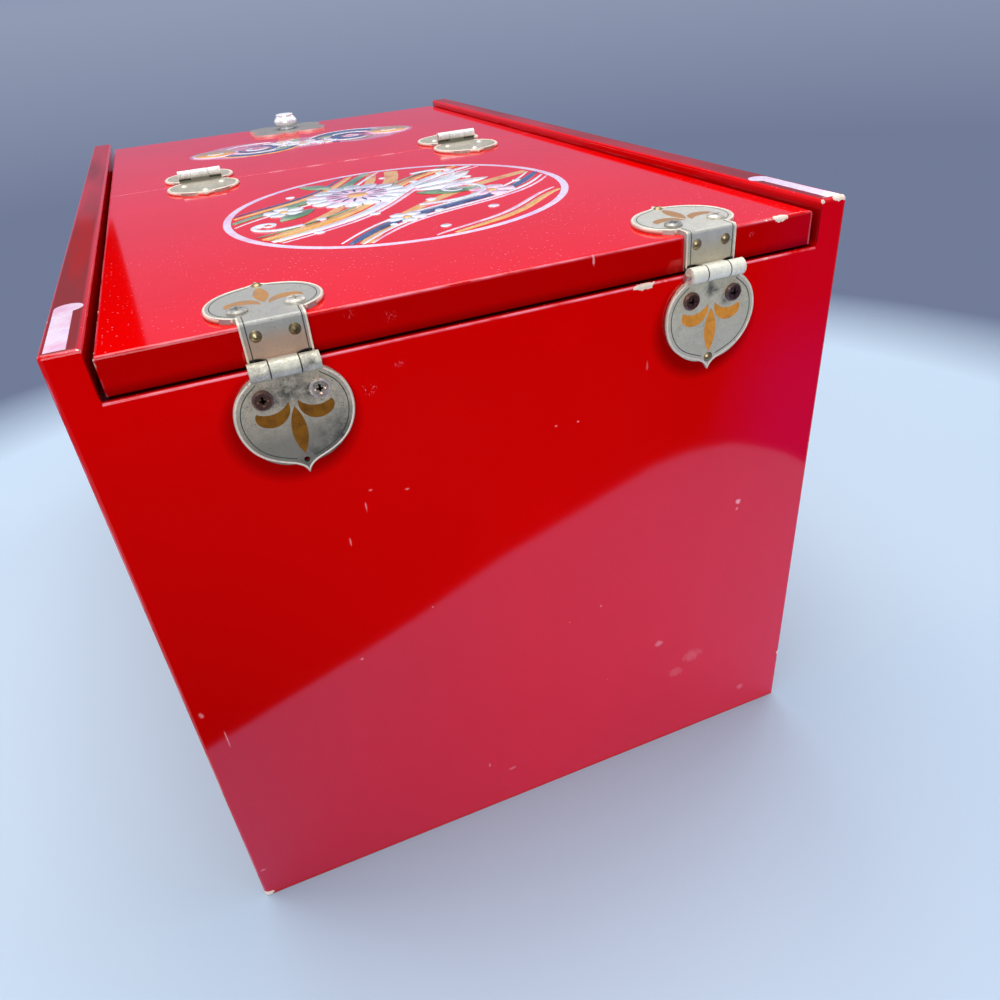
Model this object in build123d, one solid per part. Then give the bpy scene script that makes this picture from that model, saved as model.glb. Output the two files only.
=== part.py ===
from build123d import *
import os

# Lacquered mirror-stand jewelry box with a two-leaf folding lid.
# Front is -Y, the hinged back is +Y, the floor is z = 0, lengths are millimetres.

# Case boards
case_width = 180.0
case_depth = 303.0
side_rise = 2.6
side_thickness = 7.6
back_height = 158.8
back_thickness = 8.0
rail_thickness = 8.0
bottom_thickness = 7.0
shelf_height = 72.0
shelf_thickness = 6.0
dado_depth = 2.0
board_round = 1.0
rim_round = 0.5

# Folding lid
lid_gap = 0.6
lid_thickness = 8.0
lid_side_gap = 1.0
lid_setback = 1.6
seam_offset = 170.3
seam_gap = 0.5
lid_round = 0.8
seam_round = 0.25

# Shell inlay, let in flush
inlay_depth = 0.5
medallion_radius = 51.3
medallion_band = 2.2
medallion_offset = 89.0
medallion_shift = -2.0
stream_margin = 1.5
cloud_inset = 67.0
cloud_half_length = 50.0
cloud_end_radius = 13.0
cloud_lobe_radius = 20.0
cloud_lobe_step = 25.5
cloud_waist_radius = 15.0
edge_inlay_length = 27.0
edge_inlay_width = 3.9
edge_inlay_inset = 1.2
edge_inlay_curl = 2.9

# Hinges over the back panel
hinge_inset = 39.8
hinge_shift = -2.0
hinge_sheet = 1.0
barrel_radius = 1.9
barrel_length = 14.2
centre_knuckle = 6.0
knuckle_gap = 0.15
pin_radius = 0.8
pin_play = 0.05
pin_proud = 1.3
leaf_neck = 7.2
leaf_half_width = 12.3
leaf_length = 23.0
lower_neck_drop = 1.9
upper_neck_run = 2.4
strap_half_width = 6.7
strap_lift = 0.2

# Hinges over the seam of the lid
seam_hinge_inset = 40.5
seam_barrel_radius = 1.5
seam_barrel_length = 14.9
seam_axis_height = 3.4
seam_sheet = 0.9
seam_pin_radius = 0.6
seam_leaf_length = 25.0
seam_swing_gap = 0.25

# Screws and nails
screw_head_radius = 2.15
screw_head_height = 0.9
screw_radius = 1.1
screw_length = 6.5
screw_spread = 5.8
lower_screw_run = 4.4
upper_screw_run = 3.7
driver_slot_width = 0.5
driver_slot_length = 2.4
driver_slot_depth = 0.5
nail_head_radius = 1.25
nail_radius = 0.6
nail_length = 5.0
tip_nail_run = 19.8
strap_nail_spread = 3.85
strap_nail_drop = 2.1
seam_nail_spread = 6.5
seam_nail_run = 7.5

# Amber petals let into the hinge leaves
petal_depth = 0.3
petal_start = 7.2
petal_length = 11.1
petal_half_width = 1.6

# Knobs and their plates
knob_inset = 19.0
knob_radius = 5.5
knob_half_height = 3.0
knob_foot_radius = 3.4
knob_neck = 0.7
stud_radius = 1.5
stud_play = 0.1
stud_end = 1.0
nut_radius = 3.1
nut_thickness = 2.4
knob_plate_sheet = 0.9
knob_plate_half_width = 17.4
knob_plate_half_length = 17.0
knob_lobe_radius = 8.0

# Mirror under the rear leaf
mirror_frame_width = 9.0
mirror_frame_thickness = 4.4
mirror_border = 6.5
mirror_glass_thickness = 2.0
mirror_lip = 2.5
mirror_play = 0.2
mirror_frame_bevel = 1.2

# Lining of the upper compartment
card_thickness = 2.0
card_drop = 2.0
leaf_card_thickness = 1.4
leaf_card_border = 6.0
leaf_card_hole = 4.5

# Sliding tray and its ledges
tray_length = 140.0
tray_height = 30.0
tray_drop = 9.0
tray_wall = 4.0
tray_floor_thickness = 3.0
tray_play = 0.5
ledge_width = 6.0
ledge_height = 6.0
ledge_play = 0.2
roll_count = 6
roll_radius = 5.4
roll_gap = 0.3
divider_thickness = 3.0

# Drawer
drawer_gap = 0.6
drawer_front_thickness = 8.0
drawer_wall = 6.0
drawer_head_gap = 5.0
drawer_floor_play = 0.3
drawer_floor_lift = 3.0
drawer_floor_thickness = 3.0
drawer_groove = 2.5
drawer_card_thickness = 1.2

# Stations worked out from the sizes above
front = -case_depth / 2
rear = case_depth / 2
inner_half = case_width / 2 - side_thickness
inner_rear = rear - back_thickness
inner_front = front + rail_thickness
lid_bottom = back_height + lid_gap
lid_top = lid_bottom + lid_thickness
side_height = lid_top + side_rise
lid_half = inner_half - lid_side_gap
lid_rear = rear - lid_setback
seam = rear - seam_offset
barrel_y = rear + barrel_radius
barrel_z = back_height + lid_gap / 2
strap_bottom = lid_bottom + strap_lift
seam_axis_z = lid_top + seam_axis_height
hinge_half = case_width / 2 - hinge_inset
hinge_sides = {"right": hinge_shift + hinge_half, "left": hinge_shift - hinge_half}
seam_hinge_half = case_width / 2 - seam_hinge_inset
seam_sides = {"right": seam_hinge_half, "left": -seam_hinge_half}
medallion_y = rear - medallion_offset
cloud_y = front + cloud_inset
knob_y = front + knob_inset
compartment_floor = shelf_height + shelf_thickness
same_place = 1e-4

os.makedirs("parts", exist_ok=True)


def save(name, *solids):
    """One file for a piece, or for a set of like pieces kept as separate solids."""
    shape = solids[0] if len(solids) == 1 else Compound(children=list(solids))
    export_step(shape, f"parts/{name}.step")


def board(x_span, y_span, z_span):
    """A rectangular board between two stations on each axis."""
    spans = (x_span, y_span, z_span)
    middle = [(low + high) / 2 for low, high in spans]
    return Pos(*middle) * Box(*[high - low for low, high in spans])


def both(half):
    """A span that lies evenly about the middle plane."""
    return (-half, half)


def edges_at(shape, axis, station):
    """The edges of a shape whose middles lie at one station of an axis."""
    return [edge for edge in shape.edges() if abs(getattr(edge.center(), axis) - station) < same_place]


def edges_along(shape, axis, station, height):
    """The edges at one station of an axis that also lie at one height."""
    return [edge for edge in edges_at(shape, axis, station) if abs(edge.center().Z - height) < same_place]


def wall_plane(x, y, z):
    """Lies on the back panel: local x is +X, local y runs down, outwards is +Y."""
    return Plane(origin=(x, y, z), x_dir=(1, 0, 0), z_dir=(0, 1, 0))


def forward_plane(x, y, z):
    """Lies on the lid: local y runs to the front, outwards is up."""
    return Plane(origin=(x, y, z), x_dir=(-1, 0, 0), z_dir=(0, 0, 1))


def backward_plane(x, y, z):
    """Lies on the lid: local y runs to the back, outwards is up."""
    return Plane(origin=(x, y, z), x_dir=(1, 0, 0), z_dir=(0, 0, 1))


def heart_face(neck, half_width, length):
    """Leaf outline: full shoulders, a round belly, and an ogee that runs out to a point."""
    chin = (0.2 * half_width, 0.885 * length)
    shoulder = Spline(
        (neck, 0),
        (0.84 * half_width, 0.12 * length),
        (half_width, 0.39 * length),
        (0.72 * half_width, 0.74 * length),
        chin,
    )
    ogee = ThreePointArc(chin, (0.07 * half_width, 0.935 * length), (0, length))
    half = [shoulder, ogee]
    other_half = [edge.mirror(Plane.YZ) for edge in half]
    return make_face(half + other_half + [Line((neck, 0), (-neck, 0))])


def petal_faces():
    """A spindle on the middle line and a curled petal on each side of it."""
    top = (0, petal_start)
    bottom = (0, petal_start + petal_length)
    middle = petal_start + petal_length * 0.48
    spindle = make_face([
        ThreePointArc(top, (petal_half_width, middle), bottom),
        ThreePointArc(bottom, (-petal_half_width, middle), top),
    ])
    inner_tip = (petal_half_width * 0.6, petal_start - petal_half_width * 0.75)
    outer_top = (petal_length * 0.70, petal_start)
    outer_low = (petal_length * 0.69, petal_start + petal_length * 0.23)
    curl = make_face([
        ThreePointArc(inner_tip, (petal_length * 0.40, petal_start + petal_length * 0.07), outer_top),
        ThreePointArc(outer_top, (petal_length * 0.735, petal_start + petal_length * 0.11), outer_low),
        ThreePointArc(outer_low, (petal_length * 0.42, petal_start + petal_length * 0.335), inner_tip),
    ])
    return [spindle, curl, curl.mirror(Plane.YZ)]


def dot_holes(places, radius, sheet):
    """Round holes through a sheet that lies on z = 0 of its own plane."""
    return [Pos(x, y, sheet / 2) * Cylinder(radius, sheet * 3) for x, y in places]


def screw():
    """Pan head on z = 0 with a cross recess, shank below."""
    head = Pos(0, 0, screw_head_height / 2) * Cylinder(screw_head_radius, screw_head_height)
    head = chamfer(head.edges().group_by(Axis.Z)[-1], screw_head_height * 0.45)
    slot_z = screw_head_height - driver_slot_depth / 2
    for angle in (0, 90):
        turned = Rot(0, 0, angle) * Box(driver_slot_length, driver_slot_width, driver_slot_depth)
        head -= Pos(0, 0, slot_z) * turned
    return head + Pos(0, 0, -screw_length / 2) * Cylinder(screw_radius, screw_length)


def nail():
    """Low domed head on z = 0, shank below."""
    ball_radius = nail_head_radius * 1.25
    sink = (ball_radius**2 - nail_head_radius**2) ** 0.5
    dome = Pos(0, 0, -sink) * Sphere(ball_radius)
    dome &= Pos(0, 0, ball_radius) * Box(4 * ball_radius, 4 * ball_radius, 2 * ball_radius)
    return dome + Pos(0, 0, -nail_length / 2) * Cylinder(nail_radius, nail_length)


def pilots(plane, places, radius, length):
    """The holes that shanks leave in the wood under a sheet on this plane."""
    hole = Cylinder(radius + pin_play, length + 2 * pin_play)
    return [plane * (Pos(x, y, -length / 2) * hole) for x, y in places]


def x_cylinder(x_span, y, z, radius):
    """A round bar along X."""
    middle = (x_span[0] + x_span[1]) / 2
    return Pos(middle, y, z) * Rot(0, 90, 0) * Cylinder(radius, x_span[1] - x_span[0])


def x_prism(points, x_span):
    """A polygon of (y, z) corners drawn out along X."""
    plane = Plane(origin=(x_span[0], 0, 0), x_dir=(0, 1, 0), z_dir=(1, 0, 0))
    return extrude(plane * make_face(Polyline(*points, close=True)), x_span[1] - x_span[0])


def knuckle_spans(x, length, middle):
    """The middle knuckle's span, then the two outer ones, with running gaps between."""
    inner = middle / 2
    outer = inner + knuckle_gap
    end = length / 2
    return (x - inner, x + inner), [(x - end, x - outer), (x + outer, x + end)]


def screw_places(run):
    return [(-screw_spread, run), (screw_spread, run)]


def strap_nail_places():
    return [(-strap_nail_spread, strap_nail_drop), (strap_nail_spread, strap_nail_drop)]


def seam_nail_places():
    return [(-seam_nail_spread, seam_nail_run), (seam_nail_spread, seam_nail_run), (0, tip_nail_run)]


# The four planes that hinge leaves and knob plates lie on
def lower_plane(x):
    return wall_plane(x, rear, barrel_z - lower_neck_drop)


def upper_plane(x):
    return forward_plane(x, lid_rear - upper_neck_run, lid_top)


def strap_plane(x):
    return wall_plane(x, lid_rear, lid_top)


def seam_front_plane(x):
    return forward_plane(x, seam - seam_swing_gap / 2 - seam_sheet, lid_top)


def seam_rear_plane(x):
    return backward_plane(x, seam + seam_swing_gap / 2 + seam_sheet, lid_top)


def heart_leaf(plane, sheet, length, holes):
    """A flat heart-shaped leaf standing on a plane, with its holes."""
    leaf = extrude(heart_face(leaf_neck, leaf_half_width, length), sheet)
    for hole in holes:
        leaf -= hole
    return plane * leaf


def petal_solids(plane):
    """The three amber petals, flush with the face of a leaf."""
    lift = Pos(0, 0, hinge_sheet - petal_depth)
    return [plane * (lift * extrude(face, petal_depth)) for face in petal_faces()]


def lower_leaf(x):
    """Heart on the back panel with the two outer knuckles rolled at its neck."""
    middle, outers = knuckle_spans(x, barrel_length, centre_knuckle)
    holes = dot_holes(screw_places(lower_screw_run), screw_radius + pin_play, hinge_sheet)
    holes += dot_holes([(0, tip_nail_run)], nail_radius + pin_play, hinge_sheet)
    leaf = heart_leaf(lower_plane(x), hinge_sheet, leaf_length, holes)
    neck_z = barrel_z - lower_neck_drop
    for span in outers:
        leaf += board(span, (rear, rear + hinge_sheet), (neck_z - hinge_sheet, barrel_z))
        leaf += x_cylinder(span, barrel_y, barrel_z, barrel_radius)
    clear = barrel_radius + knuckle_gap
    clear_span = (middle[0] - knuckle_gap, middle[1] + knuckle_gap)
    leaf -= x_cylinder(clear_span, barrel_y, barrel_z, clear)
    leaf -= x_cylinder(both(case_width), barrel_y, barrel_z, pin_radius + pin_play)
    for petal in petal_solids(lower_plane(x)):
        leaf -= petal
    return leaf


def upper_leaf(x):
    """Heart on the lid, a strap bent straight down its rear edge, and the middle knuckle on a short web."""
    middle, outers = knuckle_spans(x, barrel_length, centre_knuckle)
    holes = dot_holes(screw_places(upper_screw_run), screw_radius + pin_play, hinge_sheet)
    holes += dot_holes([(0, tip_nail_run)], nail_radius + pin_play, hinge_sheet)
    leaf = heart_leaf(upper_plane(x), hinge_sheet, leaf_length, holes)
    strap = (x - strap_half_width, x + strap_half_width)
    face_y = lid_rear + hinge_sheet
    over = lid_top + hinge_sheet
    bend = board(strap, (lid_rear - upper_neck_run - hinge_sheet, face_y), (lid_top, over))
    bend += board(strap, (lid_rear, face_y), (strap_bottom, over))
    bend = fillet(edges_along(bend, "Y", face_y, over), hinge_sheet * 0.8)
    for hole in dot_holes(strap_nail_places(), nail_radius + pin_play, hinge_sheet):
        bend -= strap_plane(x) * hole
    barrel_top = (barrel_y, barrel_z + barrel_radius)
    web_foot = [(face_y, strap_bottom + hinge_sheet), (face_y, strap_bottom)]
    web = x_prism([*web_foot, (barrel_y, barrel_z), barrel_top], middle)
    leaf += bend + web + x_cylinder(middle, barrel_y, barrel_z, barrel_radius)
    leaf -= x_cylinder(middle, barrel_y, barrel_z, pin_radius + pin_play)
    for petal in petal_solids(upper_plane(x)):
        leaf -= petal
    return leaf


def seam_leaf(x, towards, outer_knuckles):
    """Heart on the lid whose neck stands up beside the seam and rolls into its knuckles."""
    plane = seam_rear_plane(x) if towards > 0 else seam_front_plane(x)
    holes = dot_holes(seam_nail_places(), nail_radius + pin_play, seam_sheet)
    leaf = heart_leaf(plane, seam_sheet, seam_leaf_length, holes)
    middle, outers = knuckle_spans(x, seam_barrel_length, centre_knuckle)
    own = outers if outer_knuckles else [middle]
    near = seam + towards * seam_swing_gap / 2
    upright = tuple(sorted((near, near + towards * seam_sheet)))
    low_top = seam_axis_z - seam_barrel_radius - seam_swing_gap
    full = (x - seam_barrel_length / 2, x + seam_barrel_length / 2)
    leaf += board(full, upright, (lid_top, low_top))
    for span in own:
        leaf += board(span, upright, (lid_top, seam_axis_z))
        leaf += x_cylinder(span, seam, seam_axis_z, seam_barrel_radius)
    return leaf - x_cylinder(both(case_width), seam, seam_axis_z, seam_pin_radius + pin_play)


def knob_plate_face():
    """Four round lobes about a waist, with a point to the front and to the back."""
    shape = Rectangle(knob_plate_half_width, knob_plate_half_length)
    across = knob_plate_half_width - knob_lobe_radius
    along = knob_plate_half_length * 0.4
    for x in (-across, across):
        for y in (-along, along):
            shape += Pos(x, y) * Circle(knob_lobe_radius)
    tip = knob_plate_half_length
    shoulder = knob_lobe_radius * 0.8
    for end in (-tip, tip):
        shape += make_face(Polyline((0, end), (shoulder, end * 0.4), (-shoulder, end * 0.4), close=True))
    return shape


def knob_plate(plane):
    plate = extrude(knob_plate_face(), knob_plate_sheet)
    return plane * (plate - Cylinder(stud_radius + stud_play, knob_plate_sheet * 4))


def knob(plane, wood):
    """A flattened ball on a flared foot, with a stud through the plate and the wood to its nut."""
    stud = knob_plate_sheet + wood + nut_thickness + stud_end
    height = 2 * knob_half_height
    neck_radius = 0.7 * knob_foot_radius
    crown = (0, knob_neck + height)
    turned = Polyline(
        crown,
        (0, -stud),
        (stud_radius, -stud),
        (stud_radius, 0),
        (knob_foot_radius, 0),
        (knob_foot_radius, knob_neck * 0.3),
        (neck_radius, knob_neck),
    )
    ball = Spline(
        (neck_radius, knob_neck),
        (0.87 * knob_radius, knob_neck + 0.2 * height),
        (knob_radius, knob_neck + 0.47 * height),
        (0.77 * knob_radius, knob_neck + 0.81 * height),
        crown,
        tangents=[(1, 0.3), (-1, 0)],
    )
    shape = revolve(Plane.XZ * make_face([turned, ball]), Axis.Z)
    return plane * (Pos(0, 0, knob_plate_sheet) * shape)


def knob_nut(plane, wood):
    nut = extrude(RegularPolygon(nut_radius, 6), nut_thickness)
    nut -= Cylinder(stud_radius + stud_play, nut_thickness * 4)
    return plane * (Pos(0, 0, -wood - nut_thickness) * nut)


def side_panel(side):
    """A side with eased edges, a stopped groove for the shelf and a rebate for the bottom."""
    outer = side * case_width / 2
    inner = side * inner_half
    panel = board(tuple(sorted((inner, outer))), (front, rear), (0, side_height))
    eased = edges_at(panel, "X", outer) + [
        edge for edge in edges_at(panel, "Z", side_height) if abs(edge.center().X - outer) > same_place
    ]
    panel = fillet(eased, board_round)
    groove = tuple(sorted((inner - side * dado_depth, inner + side * dado_depth)))
    panel -= board(groove, (inner_front, inner_rear), (shelf_height, compartment_floor))
    panel -= board(groove, (front, inner_rear), (0, bottom_thickness))
    return panel - edge_inlay(side)


def edge_inlay(side):
    """A shell strip on the outer half of a side's top edge, with a curl at its front end."""
    outer = side * (case_width / 2 - edge_inlay_inset)
    inner = outer - side * edge_inlay_width
    start = rear - edge_inlay_inset
    end = start - edge_inlay_length
    strip = board(tuple(sorted((inner, outer))), (end, start), (side_height - inlay_depth, side_height))
    curl_x = outer - side * edge_inlay_curl
    return strip + Pos(curl_x, end, side_height - inlay_depth / 2) * Cylinder(edge_inlay_curl, inlay_depth)


def medallion_ring():
    ring = Circle(medallion_radius) - Circle(medallion_radius - medallion_band)
    return Pos(medallion_shift, medallion_y, lid_top - inlay_depth) * extrude(ring, inlay_depth)


def medallion_streams():
    """Three bands that sweep across the medallion, each a slice of a wide ring."""
    reach = medallion_radius - medallion_band - stream_margin
    bends = [(1.9, -1.35, 2.15, 0.10), (2.2, -1.45, 2.32, 0.07), (-1.6, 2.0, 2.3, 0.08)]
    streams = []
    for centre_x, centre_y, bend, width in bends:
        outer = Circle(reach * (bend + width / 2))
        inner = Circle(reach * (bend - width / 2))
        band = Pos(centre_x * reach, centre_y * reach) * (outer - inner)
        streams.append(extrude(band & Circle(reach), inlay_depth))
    return [Pos(medallion_shift, medallion_y, lid_top - inlay_depth) * stream for stream in streams]


def front_cloud():
    """A long cloud of round lobes: a full one each side of a waist, a small one at each end."""
    end_x = cloud_half_length - cloud_end_radius
    shape = Rectangle(2 * end_x, cloud_end_radius) + Circle(cloud_waist_radius)
    for side in (-1, 1):
        shape += Pos(side * end_x, 0) * Circle(cloud_end_radius)
        shape += Pos(side * cloud_lobe_step, 0) * Circle(cloud_lobe_radius)
    return Pos(0, cloud_y, lid_top - inlay_depth) * extrude(shape, inlay_depth)


def leaf_board(y_span, seam_side):
    """One leaf of the lid with its upper edges eased, least along the seam."""
    leaf = board(both(lid_half), y_span, (lid_bottom, lid_top))
    upper = edges_at(leaf, "Z", lid_top)
    leaf = fillet([edge for edge in upper if abs(edge.center().Y - seam_side) > same_place], lid_round)
    return fillet(edges_along(leaf, "Y", seam_side, lid_top), seam_round)


def ring_rolls(x_half, y_start, floor_z):
    """Round-ended foam rolls lying side by side across the tray, each flat where it rests."""
    rolls = []
    step = 2 * roll_radius + roll_gap
    for index in range(roll_count):
        y = y_start + roll_gap + roll_radius + index * step
        straight = x_half - roll_gap - roll_radius * 0.6
        roll = x_cylinder(both(straight), y, floor_z + roll_radius, roll_radius)
        for side in (-1, 1):
            cap = Cone(roll_radius, roll_radius * 0.7, roll_radius * 0.6)
            turned = Rot(0, 90 * side, 0) * cap
            roll += Pos(side * (straight + roll_radius * 0.3), y, floor_z + roll_radius) * turned
        roll -= board(both(x_half), (y - roll_radius, y + roll_radius), (floor_z - 1, floor_z + 0.5))
        rolls.append(Pos(0, 0, -0.5) * roll)
    return rolls


# Case
save("right_side_panel", side_panel(1))
save("left_side_panel", side_panel(-1))
save("right_edge_inlay", edge_inlay(1))
save("left_edge_inlay", edge_inlay(-1))

back_panel = board(both(inner_half), (inner_rear, rear), (0, back_height))
back_panel = fillet(edges_along(back_panel, "Y", rear, back_height), rim_round)
screw_depth = screw_length - hinge_sheet
nail_depth = nail_length - hinge_sheet
for x in hinge_sides.values():
    back_panel -= pilots(lower_plane(x), screw_places(lower_screw_run), screw_radius, screw_depth)
    back_panel -= pilots(lower_plane(x), [(0, tip_nail_run)], nail_radius, nail_depth)
save("back_panel", back_panel)

save("bottom_panel", board(both(inner_half + dado_depth), (front, inner_rear), (0, bottom_thickness)))
shelf_z = (shelf_height, compartment_floor)
save("shelf_panel", board(both(inner_half + dado_depth), (inner_front, inner_rear), shelf_z))
save("front_rail", board(both(inner_half), (front, inner_front), (shelf_height, back_height)))

# Lining cards of the upper compartment
card_top = back_height - card_drop
floor_top = compartment_floor + card_thickness
well_half = inner_half - card_thickness
well_front = inner_front + card_thickness
well_rear = inner_rear - card_thickness
save("lining_floor", board(both(inner_half), (inner_front, inner_rear), (compartment_floor, floor_top)))
save("lining_front", board(both(well_half), (inner_front, well_front), (floor_top, card_top)))
save("lining_back", board(both(well_half), (well_rear, inner_rear), (floor_top, card_top)))
save("lining_right", board((well_half, inner_half), (inner_front, inner_rear), (floor_top, card_top)))
save("lining_left", board((-inner_half, -well_half), (inner_front, inner_rear), (floor_top, card_top)))

# Sliding tray on its ledges
tray_top = back_height - tray_drop
tray_bottom = tray_top - tray_height
tray_floor_top = tray_bottom + tray_floor_thickness
tray_half = well_half - tray_play
tray_rear = well_rear - tray_play
tray_front = tray_rear - tray_length
ledge_top = tray_bottom - ledge_play
ledge_z = (ledge_top - ledge_height, ledge_top)
save(
    "tray_ledges",
    board((well_half - ledge_width, well_half), (well_front, well_rear), ledge_z),
    board((-well_half, ledge_width - well_half), (well_front, well_rear), ledge_z),
)
cell_half = tray_half - tray_wall
cell_rear = tray_rear - tray_wall
cell_front = tray_front + tray_wall
divider_y = cell_front + roll_gap + roll_count * (2 * roll_radius + roll_gap)
wall_z = (tray_floor_top, tray_top)
save("tray_floor", board(both(tray_half), (tray_front, tray_rear), (tray_bottom, tray_floor_top)))
save("tray_front_wall", board(both(cell_half), (tray_front, cell_front), wall_z))
save("tray_back_wall", board(both(cell_half), (cell_rear, tray_rear), wall_z))
save("tray_right_wall", board((cell_half, tray_half), (tray_front, tray_rear), wall_z))
save("tray_left_wall", board((-tray_half, -cell_half), (tray_front, tray_rear), wall_z))
divider_z = (tray_floor_top, tray_top - tray_wall)
third = 2 * cell_half / 3
cross_divider = board(both(cell_half), (divider_y, divider_y + divider_thickness), divider_z)
long_dividers = [
    Pos(x, 0, 0) * board(both(divider_thickness / 2), (divider_y + divider_thickness, cell_rear), divider_z)
    for x in (-third / 2, third / 2)
]
save("tray_cross_divider", cross_divider)
save("tray_long_dividers", *long_dividers)
save("ring_rolls", *ring_rolls(cell_half, cell_front, tray_floor_top))

# Hinges over the back panel
for name, x in hinge_sides.items():
    save(f"{name}_hinge_lower_leaf", lower_leaf(x))
    save(f"{name}_hinge_upper_leaf", upper_leaf(x))
barrel_half = barrel_length / 2
pins = []
for name, proud in (("left", pin_proud), ("right", 0)):
    pin_x = hinge_sides[name]
    pin_span = (pin_x - barrel_half, pin_x + barrel_half + proud)
    pins.append(x_cylinder(pin_span, barrel_y, barrel_z, pin_radius))
save("hinge_pins", *pins)
screw_sets = (
    ("lower_leaf_screws", lower_plane, lower_screw_run),
    ("upper_leaf_screws", upper_plane, upper_screw_run),
)
for name, plane_at, run in screw_sets:
    screws = [
        plane_at(x) * (Pos(place_x, place_y, hinge_sheet) * screw())
        for x in hinge_sides.values()
        for place_x, place_y in screw_places(run)
    ]
    save(name, *screws)
for name, plane_at in (("lower_leaf_petals", lower_plane), ("upper_leaf_petals", upper_plane)):
    save(name, *[petal for x in hinge_sides.values() for petal in petal_solids(plane_at(x))])
tip_nail = Pos(0, tip_nail_run, hinge_sheet) * nail()
save("lower_leaf_nail", lower_plane(hinge_sides["left"]) * tip_nail)
upper_nails = []
for x in hinge_sides.values():
    upper_nails.append(upper_plane(x) * tip_nail)
    for nail_x, nail_y in strap_nail_places():
        upper_nails.append(strap_plane(x) * (Pos(nail_x, nail_y, hinge_sheet) * nail()))
save("upper_leaf_nails", *upper_nails)

# Rear leaf of the lid
rear_leaf = leaf_board((seam + seam_gap / 2, lid_rear), seam + seam_gap / 2)
rear_leaf -= medallion_ring()
for stream in medallion_streams():
    rear_leaf -= stream
for x in hinge_sides.values():
    rear_leaf -= pilots(upper_plane(x), screw_places(upper_screw_run), screw_radius, screw_depth)
    rear_leaf -= pilots(upper_plane(x), [(0, tip_nail_run)], nail_radius, nail_depth)
    rear_leaf -= pilots(strap_plane(x), strap_nail_places(), nail_radius, nail_depth)
for x in seam_sides.values():
    rear_leaf -= pilots(seam_rear_plane(x), seam_nail_places(), nail_radius, nail_length - seam_sheet)
save("rear_leaf_panel", rear_leaf)
save("medallion_ring", medallion_ring())
save("medallion_streams", *medallion_streams())

# Mirror in its frame under the rear leaf
frame_half = lid_half - mirror_border
frame_y = (seam + mirror_border, inner_rear - mirror_border)
frame_bottom = lid_bottom - mirror_frame_thickness
glass_bottom = lid_bottom - mirror_glass_thickness
sight_half = frame_half - mirror_frame_width
sight_y = (frame_y[0] + mirror_frame_width, frame_y[1] - mirror_frame_width)
rebate_half = sight_half + mirror_lip
rebate_y = (sight_y[0] - mirror_lip, sight_y[1] + mirror_lip)
mirror_frame = board(both(frame_half), frame_y, (frame_bottom, lid_bottom))
mirror_frame -= board(both(sight_half), sight_y, (frame_bottom, lid_bottom))
sight_edges = edges_at(mirror_frame, "Z", frame_bottom)
sight_edges = [edge for edge in sight_edges if edge.length < 2 * sight_half + mirror_lip]
mirror_frame = chamfer(sight_edges, mirror_frame_bevel)
mirror_frame -= board(both(rebate_half), rebate_y, (glass_bottom - mirror_play, lid_bottom))
glass_half = rebate_half - mirror_play
glass_y = (rebate_y[0] + mirror_play, rebate_y[1] - mirror_play)
save("mirror_frame", mirror_frame)
save("mirror_glass", board(both(glass_half), glass_y, (glass_bottom, lid_bottom)))

# Front leaf of the lid
front_leaf = leaf_board((front, seam - seam_gap / 2), seam - seam_gap / 2)
front_leaf -= front_cloud()
knob_plane = forward_plane(0, knob_y, lid_top)
front_leaf -= knob_plane * Cylinder(stud_radius + stud_play, lid_thickness * 4)
for x in seam_sides.values():
    front_leaf -= pilots(seam_front_plane(x), seam_nail_places(), nail_radius, nail_length - seam_sheet)
save("front_leaf_panel", front_leaf)
save("front_cloud_inlay", front_cloud())
card_y = (inner_front + leaf_card_border, seam - leaf_card_border)
leaf_card_z = (lid_bottom - leaf_card_thickness, lid_bottom)
leaf_card = board(both(inner_half - leaf_card_border), card_y, leaf_card_z)
leaf_card -= Pos(0, knob_y, lid_bottom) * Cylinder(leaf_card_hole, lid_thickness)
save("front_leaf_lining", leaf_card)
save("lid_knob_plate", knob_plate(knob_plane))
save("lid_knob", knob(knob_plane, lid_thickness))
save("lid_knob_nut", knob_nut(knob_plane, lid_thickness))

# Hinges over the seam
for name, x in seam_sides.items():
    save(f"{name}_seam_hinge_rear_leaf", seam_leaf(x, 1, False))
    save(f"{name}_seam_hinge_front_leaf", seam_leaf(x, -1, True))
seam_barrel_half = seam_barrel_length / 2
seam_pins = [
    x_cylinder((x - seam_barrel_half, x + seam_barrel_half), seam, seam_axis_z, seam_pin_radius)
    for x in seam_sides.values()
]
save("seam_hinge_pins", *seam_pins)
for name, plane_at in (("seam_rear_nails", seam_rear_plane), ("seam_front_nails", seam_front_plane)):
    nails = [
        plane_at(x) * (Pos(px, py, seam_sheet) * nail())
        for x in seam_sides.values()
        for px, py in seam_nail_places()
    ]
    save(name, *nails)

# Drawer under the shelf
drawer_half = inner_half - drawer_gap
drawer_back_y = inner_rear - drawer_gap
drawer_front_y = front + drawer_front_thickness
drawer_low = bottom_thickness + drawer_floor_play
drawer_high = shelf_height - drawer_head_gap
floor_z = (drawer_low + drawer_floor_lift, drawer_low + drawer_floor_lift + drawer_floor_thickness)
floor_half = drawer_half - drawer_wall + drawer_groove
floor_y = (drawer_front_y - drawer_groove, drawer_back_y)
drawer_floor = board(both(floor_half), floor_y, floor_z)
drawer_plane = Plane(
    origin=(0, front, (bottom_thickness + shelf_height) / 2), x_dir=(1, 0, 0), z_dir=(0, -1, 0)
)
drawer_front = board(
    both(drawer_half), (front, drawer_front_y), (bottom_thickness + drawer_gap, shelf_height - drawer_gap)
)
drawer_front = fillet(edges_at(drawer_front, "Y", front), lid_round)
drawer_front -= drawer_floor
drawer_front -= drawer_plane * Cylinder(stud_radius + stud_play, drawer_front_thickness * 4)
save("drawer_front", drawer_front)
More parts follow.
